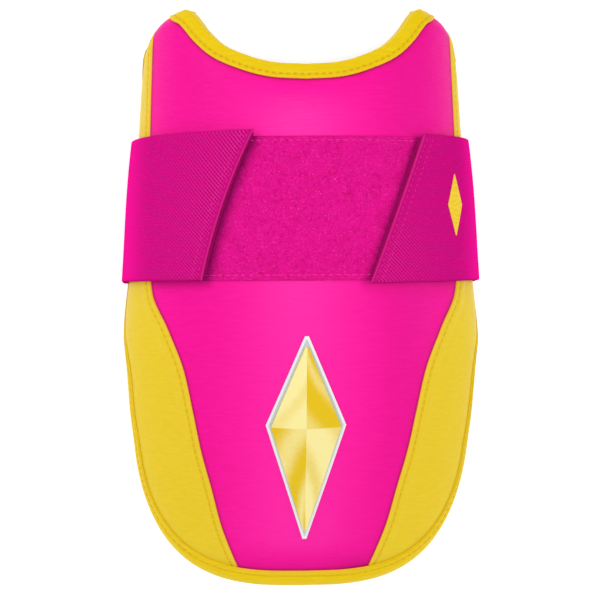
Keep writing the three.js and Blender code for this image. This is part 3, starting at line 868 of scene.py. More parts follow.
stitch_inward = BINDING_STITCH_SHARE * station_leg
stitch_angle, stitch_along = edge_place(binding_station, stitch_inward)
stitch_loop = face_point(stitch_angle, stitch_along)
edge_run = run_along(np.vstack([stitch_loop, stitch_loop[:1]]))
edge_length = edge_run[-1]
binding_stitches = round(edge_length / BINDING_PITCH)
pull = 0.5 + 0.5 * np.cos(2 * np.pi * binding_stitches * edge_run[:-1, None] / edge_length)
binding_outside = binding_offset > 0
binding_groove = bell(binding_inward - stitch_inward[:, None], BINDING_GROOVE) * binding_outside
binding_dimple = BINDING_DIMPLE * pull * binding_groove
binding_points = raised(binding_angle, binding_along, binding_level - binding_dimple)
binding_leather = leather("binding_leather", BINDING_YELLOW, BINDING_DEEP, YELLOW_TONES)
binding_faces = ring_quads(*binding_points.shape[:2])
edge_strip = add_piece(
    "edge_strip", binding_points, binding_faces, binding_leather, sharp=70
)
beside_pink = np.abs(binding_angle) < seam_angle(binding_along)
painted_lip_highlight = bell(station_leg[:, None] - binding_inward, RIM_HIGHLIGHT_WIDTH)
# Painted shade in the binding's stitched groove, deepest at each stitch
mark(edge_strip, "seam_shade", (GROOVE_SHADE + DIMPLE_SHADE * pull**3) * binding_groove**2)
# Painted highlight on the binding's lip where it lies over the pink
mark(edge_strip, "rim", painted_lip_highlight * binding_outside * beside_pink)
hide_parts("edge_binding")


# Sewing thread: lockstitches of bonded thread, each a short rounded bar that dips into the leather at both
# ends. One row follows the binding and one each folded edge of the side panels.
YELLOW_THREAD = srgb(230, 196, 36)
YELLOW_THREAD_DEEP = srgb(208, 166, 16)
THREAD_WIDTH = 0.5
THREAD_SINK = 0.1
STITCH_LENGTH = 2.3
STITCH_RINGS = np.array([-1, -0.82, -0.4, 0.4, 0.82, 1])
STITCH_SIDES = 6
STITCH_TAPER = 0.85
STITCH_LIFT = 0.32
STITCH_DIP = 0.75
STITCH_FLATNESS = 0.8


def tube_faces(count, rings, sides):
    """Faces of a number of short tubes, each given ring by ring, with both ends closed."""
    ring = np.arange(sides)
    after = np.roll(ring, -1)
    rows = np.arange(rings - 1)[:, None] * sides
    quads = np.stack([rows + ring, rows + after, rows + sides + after, rows + sides + ring], axis=-1)
    caps = np.stack([ring[::-1], ring + sides * (rings - 1)])
    first = np.arange(count)[:, None, None] * sides * rings
    return [*(first + quads.reshape(-1, 4)).reshape(-1, 4), *(first + caps).reshape(-1, sides)]


def thread_bars(centre, heading, normal, length, width):
    """Points of a row of stitches: each a bar along its heading, made of rings that shrink towards both ends
    as an ellipse does, and dip below the surface there by a fourth power."""
    t = STITCH_RINGS[:, None, None]
    turn = np.linspace(0, 2 * np.pi, STITCH_SIDES, endpoint=False)[None, :, None]
    radius = width / 2 * np.sqrt(1 - STITCH_TAPER * t**2)
    up = width * (STITCH_LIFT - STITCH_DIP * t**4) + radius * np.sin(turn) * STITCH_FLATNESS
    side = np.cross(normal, heading)
    return (
        centre[:, None, None]
        + heading[:, None, None] * (t * length / 2)
        + normal[:, None, None] * up
        + side[:, None, None] * (radius * np.cos(turn))
    )


def stitch_row(angle, along, offset, pitch, length, width, closed=False):
    """Stitches at a pitch along a line of places at an offset over the face, turned to the line and to the
    face under it."""
    points = raised(angle, along, offset)
    normals = face_frame(angle, along)[2]
    if closed:
        points = np.vstack([points, points[:1]])
        normals = np.vstack([normals, normals[:1]])
    run = run_along(points)
    count = max(round(run[-1] / pitch), 1)
    place = (np.arange(count) + 0.5) * run[-1] / count
    step = 0.4

    def at(values, where):
        return np.stack([np.interp(where, run, values[:, column]) for column in range(3)], axis=1)

    heading = unit(at(points, place + step) - at(points, place - step))
    normal = unit(at(normals, place))
    normal = unit(normal - heading * np.sum(normal * heading, axis=1, keepdims=True))
    return thread_bars(at(points, place), heading, normal, length, width)


def add_stitches(name, rows, material):
    """Joins rows of stitches into one piece."""
    bars = np.concatenate(rows)
    add_piece(name, bars, tube_faces(*bars.shape[:3]), material, sharp=80)


def thread_finish(name, colour, deep):
    """Bonded thread: a fine mottle for its twisted plies, slightly glossy."""
    finish = Finish(name)
    plies = finish.noise((2600, 2600, 2600))
    return finish.surface({
        "Base Color": finish.tint(plies, colour, deep),
        "Roughness": 0.5 + 0.2 * plies,
        "Specular IOR Level": 0.1,
        "Normal": finish.bump(plies, strength=0.4, distance=0.0002),
    })


yellow_thread = thread_finish("yellow_thread", YELLOW_THREAD, YELLOW_THREAD_DEEP)
stitch_top = BINDING_TOP - BINDING_CREASE - THREAD_SINK - edge_pinch(stitch_inward)
stitch_pitch = edge_length / binding_stitches
binding_thread = {"pitch": stitch_pitch, "length": STITCH_LENGTH, "width": THREAD_WIDTH, "closed": True}
binding_row = stitch_row(stitch_angle, stitch_along, stitch_top, **binding_thread)
add_stitches("binding_thread", [binding_row], yellow_thread)

seam_thread = {"pitch": TOP_STITCH_PITCH, "length": STITCH_LENGTH, "width": THREAD_WIDTH}
seam_line_fold = FOLD_RISE * smooth(seam_line_edge, *FOLD_FADE)
seam_line_base = CLEARANCE + LEATHER - edge_pinch(seam_line_edge)
seam_line_top = seam_line_base - GROOVE_DEPTH + seam_line_fold - THREAD_SINK
seam_rows = [
    stitch_row(sign * seam_line_angle, seam_line_along, seam_line_top, **seam_thread) for sign in (1, -1)
]
add_stitches("seam_thread", seam_rows, yellow_thread)


# Loop patch: a rectangle of pink loop pile, sewn across the front with a stitched line near its edge. Both
# strap ends fasten on it. The ground cloth is one sheet, and the pile stands on it as small crooked loops.
PILE = srgb(234, 20, 147)
PILE_DEEP = srgb(215, 15, 132)
# Colour of the painted glint specks on the pile
PILE_GLINT = srgb(255, 84, 188)
PILE_SHADE = srgb(128, 6, 84)
ON_LEATHER = 2 * CLEARANCE + LEATHER
PATCH_ANGLE = np.radians(57)
PATCH_HEIGHT = 60.6
PATCH_THICKNESS = 1.6
PATCH_CELLS = {"across": 190, "along": 104}
PATCH_RIM = 0.3
PATCH_GROUND = 0.85
PATCH_EDGE = 1.4
PATCH_STITCH = {"low": 2.5, "high": 1.8}
PATCH_HEM = 0.45
PATCH_HEM_WIDTH = 0.9
# Columns: passes of smoothing, height
PATCH_NAP = ((2, 0.08), (14, 0.05))
PILE_SEED = 7
patch_low = STRAP_MIDDLE - PATCH_HEIGHT / 2
patch_high = patch_low + PATCH_HEIGHT
patch_lines = (patch_low + PATCH_STITCH["low"], patch_high - PATCH_STITCH["high"])
random = np.random.default_rng(PILE_SEED)


def soft_noise(shape, passes):
    """Random heights, smoothed by averaging each with its four neighbours, with a spread of one."""
    heights = random.standard_normal(shape)
    for _ in range(passes):
        neighbours = [np.roll(heights, step, axis) for axis in (0, 1) for step in (1, -1)]
        heights = sum(neighbours, heights) / 5
    return heights / heights.std()


def edge_fall(along):
    """Share of the thickness that is left towards the patch's long edges, as a quarter round, and the depth
    of its stitched lines, each a bell."""
    inside = np.minimum(along - patch_low, patch_high - along)
    rounded = np.clip(1 - inside / PATCH_EDGE, 0, 1)
    sewn_depth = PATCH_HEM * sum(bell(along - line, PATCH_HEM_WIDTH) for line in patch_lines)
    return np.sqrt(1 - rounded**2), sewn_depth


def pile_finish():
    """Brushed loop pile: a speckle of painted light and shade for the light and dark sides of its loops,
    painted glint specks, and worn and fuller clouds. One mark holds 1 under a strap end and fades past its
    slanted edge, as a painted shadow of the strap ends."""
    finish = Finish("loop_pile")
    speckle = finish.noise((2100, 2100, 2100), roughness=0.6)
    cloud = finish.noise((130, 130, 130), detail=3, roughness=0.6)
    lights = finish.ramp(speckle * 0.7 + cloud * 0.3, low=0.3, high=0.7)
    body = finish.tint(lights, PILE_DEEP, PILE)
    painted_glints = finish.ramp(finish.noise((1500, 2000, 1500)), low=0.58, high=0.74)
    glinting_pile = finish.tint(0.55 * painted_glints, body, PILE_GLINT)
    return finish.surface({
        "Base Color": finish.tint(0.85 * finish.value_of("painted_strap_shadow"), glinting_pile, PILE_SHADE),
        "Roughness": 0.8 + 0.15 * speckle,
        "Specular IOR Level": 0.04,
        "Normal": finish.bump(speckle, strength=0.5, distance=0.0005),
    })


patch_u = np.linspace(-PATCH_ANGLE, PATCH_ANGLE, PATCH_CELLS["across"] + 1)
patch_v = np.linspace(patch_low, patch_high, PATCH_CELLS["along"] + 1)
patch_places = np.meshgrid(patch_u, patch_v)
patch_fall, patch_hem = edge_fall(patch_places[1])
patch_nap = sum(height * soft_noise(patch_fall.shape, passes) for passes, height in PATCH_NAP)
patch_top = ON_LEATHER + PATCH_RIM + (PATCH_GROUND + patch_nap) * patch_fall - patch_hem * patch_fall
patch_length = run_along(raised(patch_u, STRAP_MIDDLE, ON_LEATHER))[-1]
pile = pile_finish()
loop_ground = add_layer("loop_ground", *patch_places, patch_top, ON_LEATHER, pile, "loop_pile")
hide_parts("loop_patch")

LOOP_COUNT = 7400
LOOP_RINGS = 5
LOOP_SIDES = 3
LOOP_YARN = 0.17
LOOP_FOOT = 0.2
LOOP_LEAN = 0.45
LOOP_SPAN = (0.28, 0.5)
LOOP_RISE = (0.22, 0.5)
LOOP_SWEEP = (-0.12, 1.12)
LOOP_ANGLE = PATCH_ANGLE * 0.985
LOOP_MARGIN = 0.5


def pile_loops(angle, along, base):
    """Crooked half rings of yarn standing on places of the patch: each is an arc in a random upright plane,
    leaning over by a random amount, carried by a three-sided section."""
    count = len(angle)
    foot = raised(angle, along, base)
    across, _, normal = face_frame(angle, along)
    first = unit(across)
    second = np.cross(normal, first)
    heading = random.uniform(0, 2 * np.pi, count)[:, None]
    lean = random.normal(0, LOOP_LEAN, count)[:, None]
    span = random.uniform(*LOOP_SPAN, count)[:, None, None]
    rise = random.uniform(*LOOP_RISE, count)[:, None, None]
    along_loop = first * np.cos(heading) + second * np.sin(heading)
    up = unit(normal + np.cross(normal, along_loop) * lean)
    t = np.linspace(*LOOP_SWEEP, LOOP_RINGS)[None, :, None] * np.pi
    line = foot[:, None] + along_loop[:, None] * np.cos(t) * span + up[:, None] * np.sin(t) * rise
    outward = unit(along_loop[:, None] * np.cos(t) * rise + up[:, None] * np.sin(t) * span)
    binormal = np.cross(up, along_loop)[:, None, None]
    turn = (np.arange(LOOP_SIDES) * 2 * np.pi / LOOP_SIDES)[None, None, :, None]
    section_ring = outward[:, :, None] * np.cos(turn) + binormal * np.sin(turn)
    return line[:, :, None] + LOOP_YARN / 2 * section_ring


loop_angle = random.uniform(-LOOP_ANGLE, LOOP_ANGLE, LOOP_COUNT)
loop_along = random.uniform(patch_low + LOOP_MARGIN, patch_high - LOOP_MARGIN, LOOP_COUNT)
loop_fall, loop_hem = edge_fall(loop_along)
loop_base = ON_LEATHER + LOOP_FOOT + (PATCH_GROUND - loop_hem) * loop_fall
loop_points = pile_loops(loop_angle, loop_along, loop_base)
loop_faces = tube_faces(LOOP_COUNT, LOOP_RINGS, LOOP_SIDES)
loop_yarn = add_piece("loop_yarn", loop_points, loop_faces, pile, sharp=120)

PINK_THREAD = srgb(255, 62, 178)
PINK_THREAD_DEEP = srgb(240, 36, 156)
PATCH_THREAD = {"pitch": 3.4, "length": 2.7, "width": 0.46}
PATCH_THREAD_TOP = 0.66
PATCH_ROW_ANGLE = PATCH_ANGLE * 0.97
PATCH_ROW_POINTS = 300
patch_thread = thread_finish("pink_thread", PINK_THREAD, PINK_THREAD_DEEP)
patch_row = np.linspace(-PATCH_ROW_ANGLE, PATCH_ROW_ANGLE, PATCH_ROW_POINTS)
patch_rows = [
    stitch_row(patch_row, line, ON_LEATHER + PATCH_THREAD_TOP, **PATCH_THREAD) for line in patch_lines
]
add_stitches("patch_stitches", patch_rows, patch_thread)


# Hook tabs: stiff pink hook tape sewn under each slanted strap end. The tape is cut a little longer than
# the elastic, so it shows as a thin lip beyond it, coloured dark as painted shade beside the end.
HOOK_SHADED_PINK = srgb(182, 14, 112)
HOOK_SHADED_DEEP = srgb(150, 8, 92)
HOOK_THICKNESS = 1
HOOK_LIP = 0.5
HOOK_INSET = 1.5
HOOK_ANGLE = np.radians(53)
HOOK_CELLS = {"across": 40, "along": 90}
STRAP_HOLLOW = {"left": 2.1, "right": 0.2}
STRAP_SIDE_ANGLE = np.radians(88)
STRAP_RISE_ANGLE = np.radians(28.5)
HOOK_BASE = ON_LEATHER + PATCH_THICKNESS + CLEARANCE
strap_low = STRAP_MIDDLE - STRAP_WIDTH / 2
strap_high = STRAP_MIDDLE + STRAP_WIDTH / 2


def strap_end(end, along, extra):
    """Angle without sign of a slanted strap end at a distance along, drawn out past it by an extra length.
    The end is hollowed a little, as a parabola across the strap."""
    _, low, high, _ = STRAP_ENDS[end]
    share = (along - strap_low) / STRAP_WIDTH
    hollow = STRAP_HOLLOW[end] * np.maximum(4 * share * (1 - share), 0)
    return angle_at_side(along, low + (high - low) * share + hollow - extra)


def strap_rise(end, angle):
    """Distance by which the strap climbs towards its end."""
    rise = STRAP_ENDS[end][3]
    return rise * np.clip((STRAP_SIDE_ANGLE - angle) / (STRAP_SIDE_ANGLE - STRAP_RISE_ANGLE), 0, 1)


def hook_finish():
    """Hook tape: moulded nylon whose tiny hooks are fine cells, coloured darker than the elastic as painted
    shade.
    """
    finish = Finish("hook_tape")
    hooks = finish.cells((2200, 1500, 2200))
    return finish.surface({
        "Base Color": finish.tint(hooks, HOOK_SHADED_PINK, HOOK_SHADED_DEEP),
        "Roughness": 0.45 + 0.2 * hooks,
        "Specular IOR Level": 0.05,
        "Normal": finish.bump(hooks, strength=0.5, distance=0.0005),
    })


hook_nylon = hook_finish()
hook_rows = np.linspace(strap_low + HOOK_INSET, strap_high - HOOK_INSET, HOOK_CELLS["along"] + 1)[:, None]
for end, (sign, _, _, _) in STRAP_ENDS.items():
    hook_lip = strap_end(end, hook_rows, HOOK_LIP)
    hook_angle = HOOK_ANGLE + (hook_lip - HOOK_ANGLE) * shares(HOOK_CELLS["across"])
    hook_along = hook_rows + strap_rise(end, hook_angle)
    hook_places = (sign * hook_angle[:, ::-sign], hook_along[:, ::-sign])
    hook_top = HOOK_BASE + HOOK_THICKNESS
    hook_tape = add_layer(f"hook_tape_{end}", *hook_places, hook_top, HOOK_BASE, hook_nylon, "hook_tape")
    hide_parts(f"hook_tab_{end}")


# Strap: one band of pink ribbed elastic round the arm. Its ribs run along it, both ends are cut on a slant
# and sewn to the hook tape by two rows of stitches, and the back stretch lies flat where the guard rests.
ELASTIC = srgb(220, 18, 137)
ELASTIC_DEEP = srgb(186, 11, 112)
ELASTIC_HIGHLIGHT = srgb(238, 52, 156)
ELASTIC_FLANK_SHEEN = srgb(252, 20, 156)
ELASTIC_SHADE = srgb(150, 4, 92)
STRAP_THICKNESS = 2
STRAP_BASE = HOOK_BASE + HOOK_THICKNESS + CLEARANCE
STRAP_SIDE_OFFSET = 2.7
STRAP_EASE_ANGLES = (55, 84)
STRAP_SIDE_LEAN = 0.4
STRAP_BOW = 0.9
STRAP_CORNER_RADIUS = 4
STRAP_CELLS = {"front": 58, "corner": 8, "base": 22}
STRAP_CROWDING = 1.7
STRAP_EDGE = 0.9
# Painted sheen over the strap's flanks, where it turns over the side
FLANK_SHEEN_ANGLES = (63, 82)
FLANK_SHEEN_CENTRE = 16
LOW_SHADE_WIDTH = 0.5
CUT_WIDTH = 0.3
RIB_COUNT = 66
RIB_SAMPLES = 4
RIB_HEIGHT = 0.13
RIB_RIGHT = 0.7
TWILL_LIGHT = srgb(233, 42, 155)
TWILL_DEEP = srgb(164, 0, 88)
TWILL_PITCH = 1.18
TWILL_REACH = 16
TWILL_START = (0.8, 4.2)
TWILL_LEFT = 0.55
TWILL_RIGHT = 0.8
TWILL_RISE = (8, 40)


def side_offset(along):
    """Offset of the strap from the side panel: it bows out in the middle of its width, as a parabola."""
    return STRAP_SIDE_OFFSET + STRAP_BOW * (1 - ((along - STRAP_MIDDLE) * 2 / STRAP_WIDTH) ** 2)


def strap_offset(angle, along):
    """Offset of the strap's inner face: over the hook tape at the front, then down on to the side panel."""
    share = smooth(np.degrees(angle), *STRAP_EASE_ANGLES)
    return STRAP_BASE + (side_offset(along) - STRAP_BASE) * share


def strap_half(end, along, depth):
    """Half of one face of the strap, from its slanted end round the side and the corner to the floor.
    Depth is the distance from the inner face, by place across the strap."""
    sign = STRAP_ENDS[end][0]
    start = strap_end(end, along, 0)
    share = shares(STRAP_CELLS["front"])[None, :] ** STRAP_CROWDING
    angle = start + (STRAP_SIDE_ANGLE - start) * share
    front = raised(sign * angle, along + strap_rise(end, angle), strap_offset(angle, along) + depth)
    out = section(along)[0] + side_offset(along)
    radius = STRAP_CORNER_RADIUS + depth
    turn = shares(STRAP_CELLS["corner"])[None, :] * np.pi / 2
    x = out - STRAP_SIDE_LEAN - STRAP_CORNER_RADIUS + radius * np.cos(turn)
    z = STRAP_THICKNESS + STRAP_CORNER_RADIUS - radius * np.sin(turn)
    y = np.broadcast_to(along - MIDDLE_ALONG, x.shape)
    return np.concatenate([front, np.stack([sign * x, y, z], axis=-1)], axis=1)


def strap_face(along, depth):
    """One face of the whole strap: left end, left side, along the floor, right side, right end."""
    left = strap_half("left", along, depth)
    right = strap_half("right", along, depth)[:, ::-1]
    share = shares(STRAP_CELLS["base"])[None, 1:-1, None]
    base = left[:, -1:] * (1 - share) + right[:, :1] * share
    return np.concatenate([left, base, right], axis=1)


def elastic_finish():
    """Ribbed elastic: painted shade between the ribs, with short cross threads that show as a fine slanting
    twill, painted glint specks, and painted shade along the lower edge. Marks: rib holds 1 on a rib's crest,
    edge 1 on a cut end for a painted highlight, hem 1 on the lower edge and on the inner side of a cut end
    for painted shade, tight 1 where the strap turns over the side for a painted sheen, and bias 1 at the
    slanted ends, where the twill shows. Across and run give the place on the strap in millimetres."""
    finish = Finish("ribbed_elastic")
    slant = finish.value_of("across") - finish.value_of("run")
    twill = (slant * (2 * np.pi / TWILL_PITCH / 2**0.5)).sine()
    fuzz = finish.noise((1400, 1400, 1400), detail=3)
    # Painted shade between the ribs: darker where the rib mark is low
    light = finish.ramp(0.45 * finish.value_of("rib") + 0.05 * twill + 0.5 * fuzz, low=0.0, high=0.85)
    ribbed = finish.tint(light, ELASTIC_DEEP, ELASTIC)
    twill_light = finish.ramp(0.6 * twill + 0.8 * fuzz, low=-0.2, high=1.0)
    twilled = finish.tint(twill_light, TWILL_DEEP, TWILL_LIGHT)
    woven = finish.tint(finish.value_of("bias"), ribbed, twilled)
    painted_glints = finish.ramp(finish.noise((700, 2400, 700)), low=0.6, high=0.76)
    body = finish.tint(0.35 * painted_glints, woven, ELASTIC_HIGHLIGHT)
    painted_flank_sheen = finish.tint(0.8 * finish.value_of("painted_flank_sheen"), body, ELASTIC_FLANK_SHEEN)
    edge_shaded = finish.tint(0.8 * finish.value_of("painted_edge_shade"), painted_flank_sheen, ELASTIC_SHADE)
    return finish.surface({
        "Base Color": finish.tint(0.75 * finish.value_of("edge"), edge_shaded, ELASTIC_HIGHLIGHT),
        "Roughness": 0.72 + 0.15 * fuzz,
        "Specular IOR Level": 0.0,
        "Normal": finish.bump(0.5 * twill + 0.5 * fuzz, strength=0.35, distance=0.0003),
    })


strap_rows = RIB_COUNT * RIB_SAMPLES
strap_across = np.linspace(0, STRAP_WIDTH, strap_rows + 1)[:, None]
strap_inset = np.minimum(strap_across, STRAP_WIDTH - strap_across)
strap_round = STRAP_EDGE * (1 - np.sqrt(1 - np.clip(1 - strap_inset / STRAP_EDGE, 0, 1) ** 2))
strap_rib = 0.5 - 0.5 * np.cos(2 * np.pi * np.arange(strap_rows + 1)[:, None] / RIB_SAMPLES)
strap_depth = STRAP_THICKNESS - strap_round - RIB_HEIGHT * (1 - strap_rib)
strap_outer = strap_face(strap_low + strap_across, strap_depth)
strap_inner = strap_face(strap_low + strap_across, strap_round)
elastic_strap = add_wall("elastic_strap", strap_inner, strap_outer, elastic_finish(), sharp=75)

strap_run = run_along(strap_outer)
end_run = np.minimum(strap_run, strap_run[:, -1:] - strap_run)
strap_place = np.broadcast_to(strap_across, strap_run.shape)
strap_lean = np.arctan2(np.abs(strap_outer[..., 0]), strap_outer[..., 2] - FLANK_SHEEN_CENTRE)
# Painted highlight along each cut end, and painted shade along the strap's lower edge
cut_light_and_shade = fade(end_run, CUT_WIDTH)
strap_low_shade = fade(strap_place, LOW_SHADE_WIDTH)
on_right = strap_outer[..., 0] > 0
inside_end = smooth(end_run, *TWILL_START)
upper = smooth(strap_across, *TWILL_RISE)
twill_share = np.where(on_right, TWILL_RIGHT * (1 - upper), TWILL_LEFT + (1 - TWILL_LEFT) * upper)
STRAP_MARKS = {
    "rib": strap_rib * np.where(on_right, RIB_RIGHT, 1) * inside_end,
    "run": strap_run - strap_run[:, strap_run.shape[1] // 2, None],
    "across": strap_place,
    "edge": cut_light_and_shade,
    "painted_edge_shade": strap_low_shade,
    "painted_flank_sheen": smooth(np.degrees(strap_lean), *FLANK_SHEEN_ANGLES),
    "bias": twill_share * inside_end * fade(end_run, TWILL_REACH),
}
# On the inner face a cut end gets painted shade in place of the painted highlight
INNER_MARKS = STRAP_MARKS | {"edge": 0 * cut_light_and_shade, "painted_edge_shade": np.maximum(strap_low_shade, cut_light_and_shade)}
for name, values in STRAP_MARKS.items():
    mark(elastic_strap, name, np.stack([INNER_MARKS[name], values]))
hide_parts("strap")

STRAP_THREAD_PINK = srgb(242, 50, 162)
STRAP_THREAD_DEEP = srgb(218, 28, 138)
STRAP_THREAD = {"pitch": 2.6, "length": 1.5, "width": 0.36}
STRAP_ROWS = (1.5, 4.0)
STRAP_ROW_INSET = 1.4
STRAP_ROW_POINTS = 240
strap_thread = thread_finish("strap_thread", STRAP_THREAD_PINK, STRAP_THREAD_DEEP)
strap_row_top = STRAP_BASE + STRAP_THICKNESS - RIB_HEIGHT
strap_row = np.linspace(strap_low + STRAP_ROW_INSET, strap_high - STRAP_ROW_INSET, STRAP_ROW_POINTS)
strap_seams = []
for end, (sign, _, _, _) in STRAP_ENDS.items():
    for inset in STRAP_ROWS:
        row_angle = strap_end(end, strap_row, -inset)
        row_along = strap_row + strap_rise(end, row_angle)
        strap_seams.append(stitch_row(sign * row_angle, row_along, strap_row_top, **STRAP_THREAD))
add_stitches("strap_stitches", strap_seams, strap_thread)

INK = srgb(243, 208, 50)
INK_THIN = srgb(233, 194, 42)
PRINT_ALONG = 167.0
PRINT_ANGLE = np.radians(64)
PRINT_HALF_LENGTH = 13.0
PRINT_HALF_WIDTH = 4.6
PRINT_TIP = 0.04
PRINT_THICKNESS = 0.12
PRINT_CELLS = {"across": 8, "along": 52}


def print_finish():
    """Flexible ink on the elastic: even yellow that thins out between the ribs."""
    finish = Finish("strap_ink")
    thin = finish.noise((300, 1500, 300))
    return finish.surface({
        "Base Color": finish.tint(finish.ramp(thin, low=0.35, high=0.7), INK, INK_THIN),
        "Roughness": 0.5 + 0.2 * thin,
        "Specular IOR Level": 0.1,
    })


def both_ways(cells):
    """Evenly spaced shares from -1 to 1, as a column along and a row across."""
    along = np.linspace(-1, 1, cells["along"] + 1)[:, None]
    return along, np.linspace(-1, 1, cells["across"] + 1)[None, :]


# A lozenge, whose width falls evenly from its middle to both tips
print_t, print_u = both_ways(PRINT_CELLS)
print_along = PRINT_ALONG + PRINT_HALF_LENGTH * print_t + 0 * print_u
print_arc = np.linalg.norm(face_frame(PRINT_ANGLE, print_along)[0], axis=-1)
print_width = PRINT_HALF_WIDTH * (PRINT_TIP + (1 - PRINT_TIP) * (1 - np.abs(print_t)))
print_angle = PRINT_ANGLE + print_width * print_u / print_arc
print_base = strap_offset(print_angle, print_along) + STRAP_THICKNESS
print_top = print_base + PRINT_THICKNESS
print_bottom = print_base - RIB_HEIGHT
add_layer("strap_print", print_angle, print_along, print_top, print_bottom, print_finish(), "gold_trim")

# Columns: share, width
STRAP_SHADOW_SPREAD = {"left": (1, 3.6), "right": (0.7, 1.9)}


def painted_strap_shadow(angle, along):
    """Painted shadow of the strap ends on the pile: full under an end, and a bell past its slanted edge."""
    width = np.linalg.norm(face_frame(angle, along)[0], axis=-1)
    shadows = []
    for end, (sign, _, _, rise) in STRAP_ENDS.items():
        past = (strap_end(end, along - rise, 0) - sign * angle) * width
        share, reach = STRAP_SHADOW_SPREAD[end]
        shadows.append(share * bell(np.maximum(past, 0), reach))
    return np.max(shadows, axis=0)


# Painted shadow of the strap ends on the loop pile
mark(loop_ground, "painted_strap_shadow", painted_strap_shadow(*patch_places))
mark(loop_yarn, "painted_strap_shadow", np.repeat(painted_strap_shadow(loop_angle, loop_along), LOOP_RINGS * LOOP_SIDES))


# Badge: a moulded kite with four gold foil facets on a flat silver border plate, bonded to the round end.
# It is a plain ornament, and its facets meet on a ridge that falls to both tips.
SILVER = srgb(244, 244, 248)
SILVER_DEEP = srgb(196, 206, 202)
GOLD = srgb(252, 238, 160)
GOLD_DEEP = srgb(232, 194, 12)
BADGE_ALONG = 67.7
BADGE_HALF_LENGTH = 44
BADGE_HALF_WIDTH = 17
BADGE_WIDEST = 0.14
BADGE_TIP = 0.05
BADGE_BORDER = 2.2
BADGE_PLATE = 0.8
BADGE_EDGE = 0.6
BADGE_RIDGE = 2.4
BADGE_CELLS = {"across": 64, "along": 114}
# Painted reflections: one tone for each foil face, a gleam that shifts over them, and a whiter outer band on
# the plate
# Rows: lower and upper facets. Columns: left and right of the ridge
FACET_REFLECTIONS = np.array([(0.35, 0.8), (0.95, 0.2)])
PLATE_REFLECTION = 0.2
BORDER_GLEAM = (0.8, 1.25)
GLEAM = 0.3
GLEAM_TURNS = (1.3, 0.6)


def foil_finish(name, colour, deep, metallic, grain):
    """Metal foil on plastic: a painted reflection, with one tone for each foil face of the kite in a mark,
    which the mark gleam shifts from place to place as a painted gleam, with a fine sparkle over it."""
    finish = Finish(name)
    sparkle = finish.noise((grain, grain, grain))
    cloud = finish.noise((90, 60, 90))
    tone = finish.value_of("painted_facet_reflection") + finish.value_of("gleam") + 0.2 * sparkle + 0.2 * cloud - 0.2
    return finish.surface({
        "Base Color": finish.tint(finish.ramp(tone, low=0.0, high=1.0), deep, colour),
        "Metallic": metallic,
        "Roughness": 0.24 + 0.12 * sparkle,
        "Specular IOR Level": 0.3,
        "Normal": finish.bump(0.3 * sparkle + 0.7 * cloud, strength=0.25, distance=0.0006),
    })


kite_t, kite_u = both_ways(BADGE_CELLS)
kite_out = np.abs(kite_u)
kite_taper = np.minimum((1 + kite_t) / (1 + BADGE_WIDEST), (1 - kite_t) / (1 - BADGE_WIDEST))
kite_width = BADGE_TIP + (1 - BADGE_TIP) * kite_taper


def kite_places(border):
    """Grid over a kite on the round end, drawn in by a border: its half width rises evenly from both tips
    to the widest row."""
    side = (BADGE_HALF_WIDTH - border) * kite_width * kite_out
    along = np.broadcast_to(BADGE_ALONG + (BADGE_HALF_LENGTH - 2 * border) * kite_t, side.shape)
    return np.sign(kite_u) * angle_at_side(along, side), along


silver_foil = foil_finish("silver_foil", SILVER, SILVER_DEEP, metallic=0.2, grain=2400)
gold_foil = foil_finish("gold_foil", GOLD, GOLD_DEEP, metallic=0.1, grain=700)
plate_top = ON_LEATHER + BADGE_PLATE
plate_places = kite_places(0)
badge_plate = add_layer(
    "badge_plate", *plate_places, plate_top, ON_LEATHER, silver_foil, "silver_trim", sharp=25
)
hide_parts("badge_backing")
facet_base = plate_top + CLEARANCE
facet_top = facet_base + BADGE_EDGE + BADGE_RIDGE * (1 - kite_out) * kite_taper
facet_places = kite_places(BADGE_BORDER)
badge_facets = add_layer(
    "badge_facets", *facet_places, facet_top, facet_base, gold_foil, "gold_trim", sharp=8
)
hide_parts("badge_face")

facet_row = kite_t[:-1] + 1 / BADGE_CELLS["along"] > BADGE_WIDEST
facet_column = np.arange(BADGE_CELLS["across"]) * 2 >= BADGE_CELLS["across"]
facet_reflections = FACET_REFLECTIONS[facet_row.astype(int), facet_column.astype(int)].ravel()
hidden_faces = len(badge_facets.data.polygons) - len(facet_reflections)
# Painted reflection: each foil face lighter or darker as it catches the light
mark(badge_facets, "painted_facet_reflection", np.append(facet_reflections, np.full(hidden_faces, FACET_REFLECTIONS[0, 0])), "FACE")
mark(badge_plate, "painted_facet_reflection", PLATE_REFLECTION, "FACE")
gleam_turns = GLEAM_TURNS[0] * kite_t + GLEAM_TURNS[1] * kite_out
# Painted gleam that shifts along and across the foil faces
mark(badge_facets, "gleam", GLEAM * np.sin(2 * np.pi * gleam_turns))
from_side = BADGE_HALF_WIDTH * kite_width * (1 - kite_out)
from_tip = BADGE_HALF_LENGTH * (1 - np.abs(kite_t))
# Painted gleam: the plate whiter along its outer edge
mark(badge_plate, "gleam", 1 - smooth(np.minimum(from_side, from_tip), *BORDER_GLEAM))


# Stage: a pale floor under soft light from all round, one broad lamp over the guard and one from each
# side, and the camera over the front face, leaning a little to one side.
FLOOR_HALF = 3.0
FLOOR_COLOUR = srgb(250, 250, 250)
FLOOR_GLOW = 0.35
WHITE = (1.0, 1.0, 1.0, 1.0)
ROOM_LIGHT = 0.56
LAMP_TARGET = Vector((0, 0, 0.03))
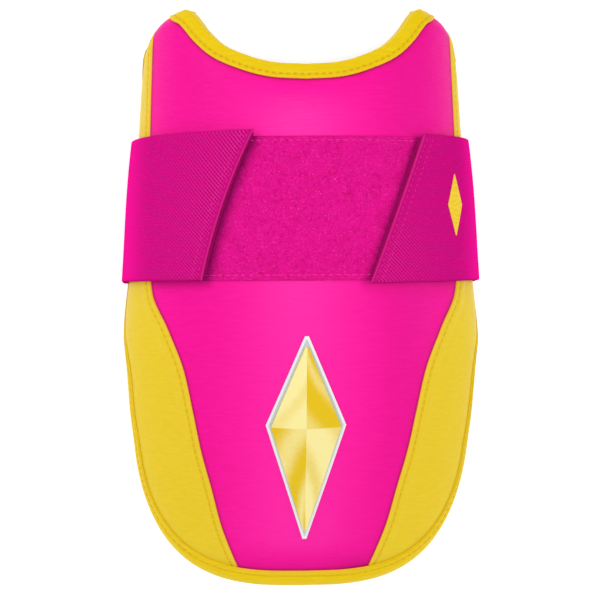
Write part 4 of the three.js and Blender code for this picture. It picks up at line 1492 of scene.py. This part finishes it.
# Columns: place and size in metres, power in watts
LAMPS = {
    "over_lamp": ((-0.05, -0.02, 1.9), 0.4, 13),
    "left_lamp": ((-1.1, 0.8, 1.2), 0.8, 5),
    "right_lamp": ((1.3, -0.3, 0.7), 0.8, 2.6),
}
CAMERA_DISTANCE = 1.15
CAMERA_LEAN = -3.0
CAMERA_ROLL = -0.4
CAMERA_TARGET = Vector((-0.0015, 0.0009, 0.035))
CAMERA_SENSOR = 36.0
FRAME_WIDTH = 0.26


floor_mesh = bpy.data.meshes.new("floor")
floor_corners = [(x * FLOOR_HALF, y * FLOOR_HALF, 0) for x, y in ((-1, -1), (1, -1), (1, 1), (-1, 1))]
floor_mesh.from_pydata(floor_corners, [], [(0, 1, 2, 3)])
floor_mesh.materials.append(Finish("pale_floor").surface({
    "Base Color": FLOOR_COLOUR,
    "Roughness": 0.9,
    "Specular IOR Level": 0.0,
    "Emission Color": WHITE,
    "Emission Strength": FLOOR_GLOW,
}))
add_object("floor", floor_mesh)

world = bpy.data.worlds.new("soft_room")
bpy.context.scene.world = world
world.use_nodes = True
room = world.node_tree.nodes["Background"]
room.inputs["Color"].default_value = WHITE
room.inputs["Strength"].default_value = ROOM_LIGHT

for name, (place, size, power) in LAMPS.items():
    lamp = bpy.data.lights.new(name, "AREA")
    lamp.size = size
    lamp.energy = power
    holder = add_object(name, lamp)
    holder.location = place
    holder.rotation_euler = (LAMP_TARGET - Vector(place)).to_track_quat("-Z", "Y").to_euler()

camera_data = bpy.data.cameras.new("camera")
camera_data.sensor_width = CAMERA_SENSOR
camera_data.lens = CAMERA_SENSOR * CAMERA_DISTANCE / FRAME_WIDTH
camera = add_object("camera", camera_data)
backward = Vector((np.tan(np.radians(CAMERA_LEAN)), 0, 1)).normalized()
right = Vector((0, 1, 0)).cross(backward).normalized()
turned = Matrix((right, backward.cross(right), backward)).transposed().to_4x4()
camera.matrix_world = (
    Matrix.Translation(CAMERA_TARGET + backward * CAMERA_DISTANCE)
    @ turned
    @ Matrix.Rotation(np.radians(CAMERA_ROLL), 4, "Z")
)
bpy.context.scene.camera = camera
bpy.context.scene.view_settings.view_transform = "Standard"
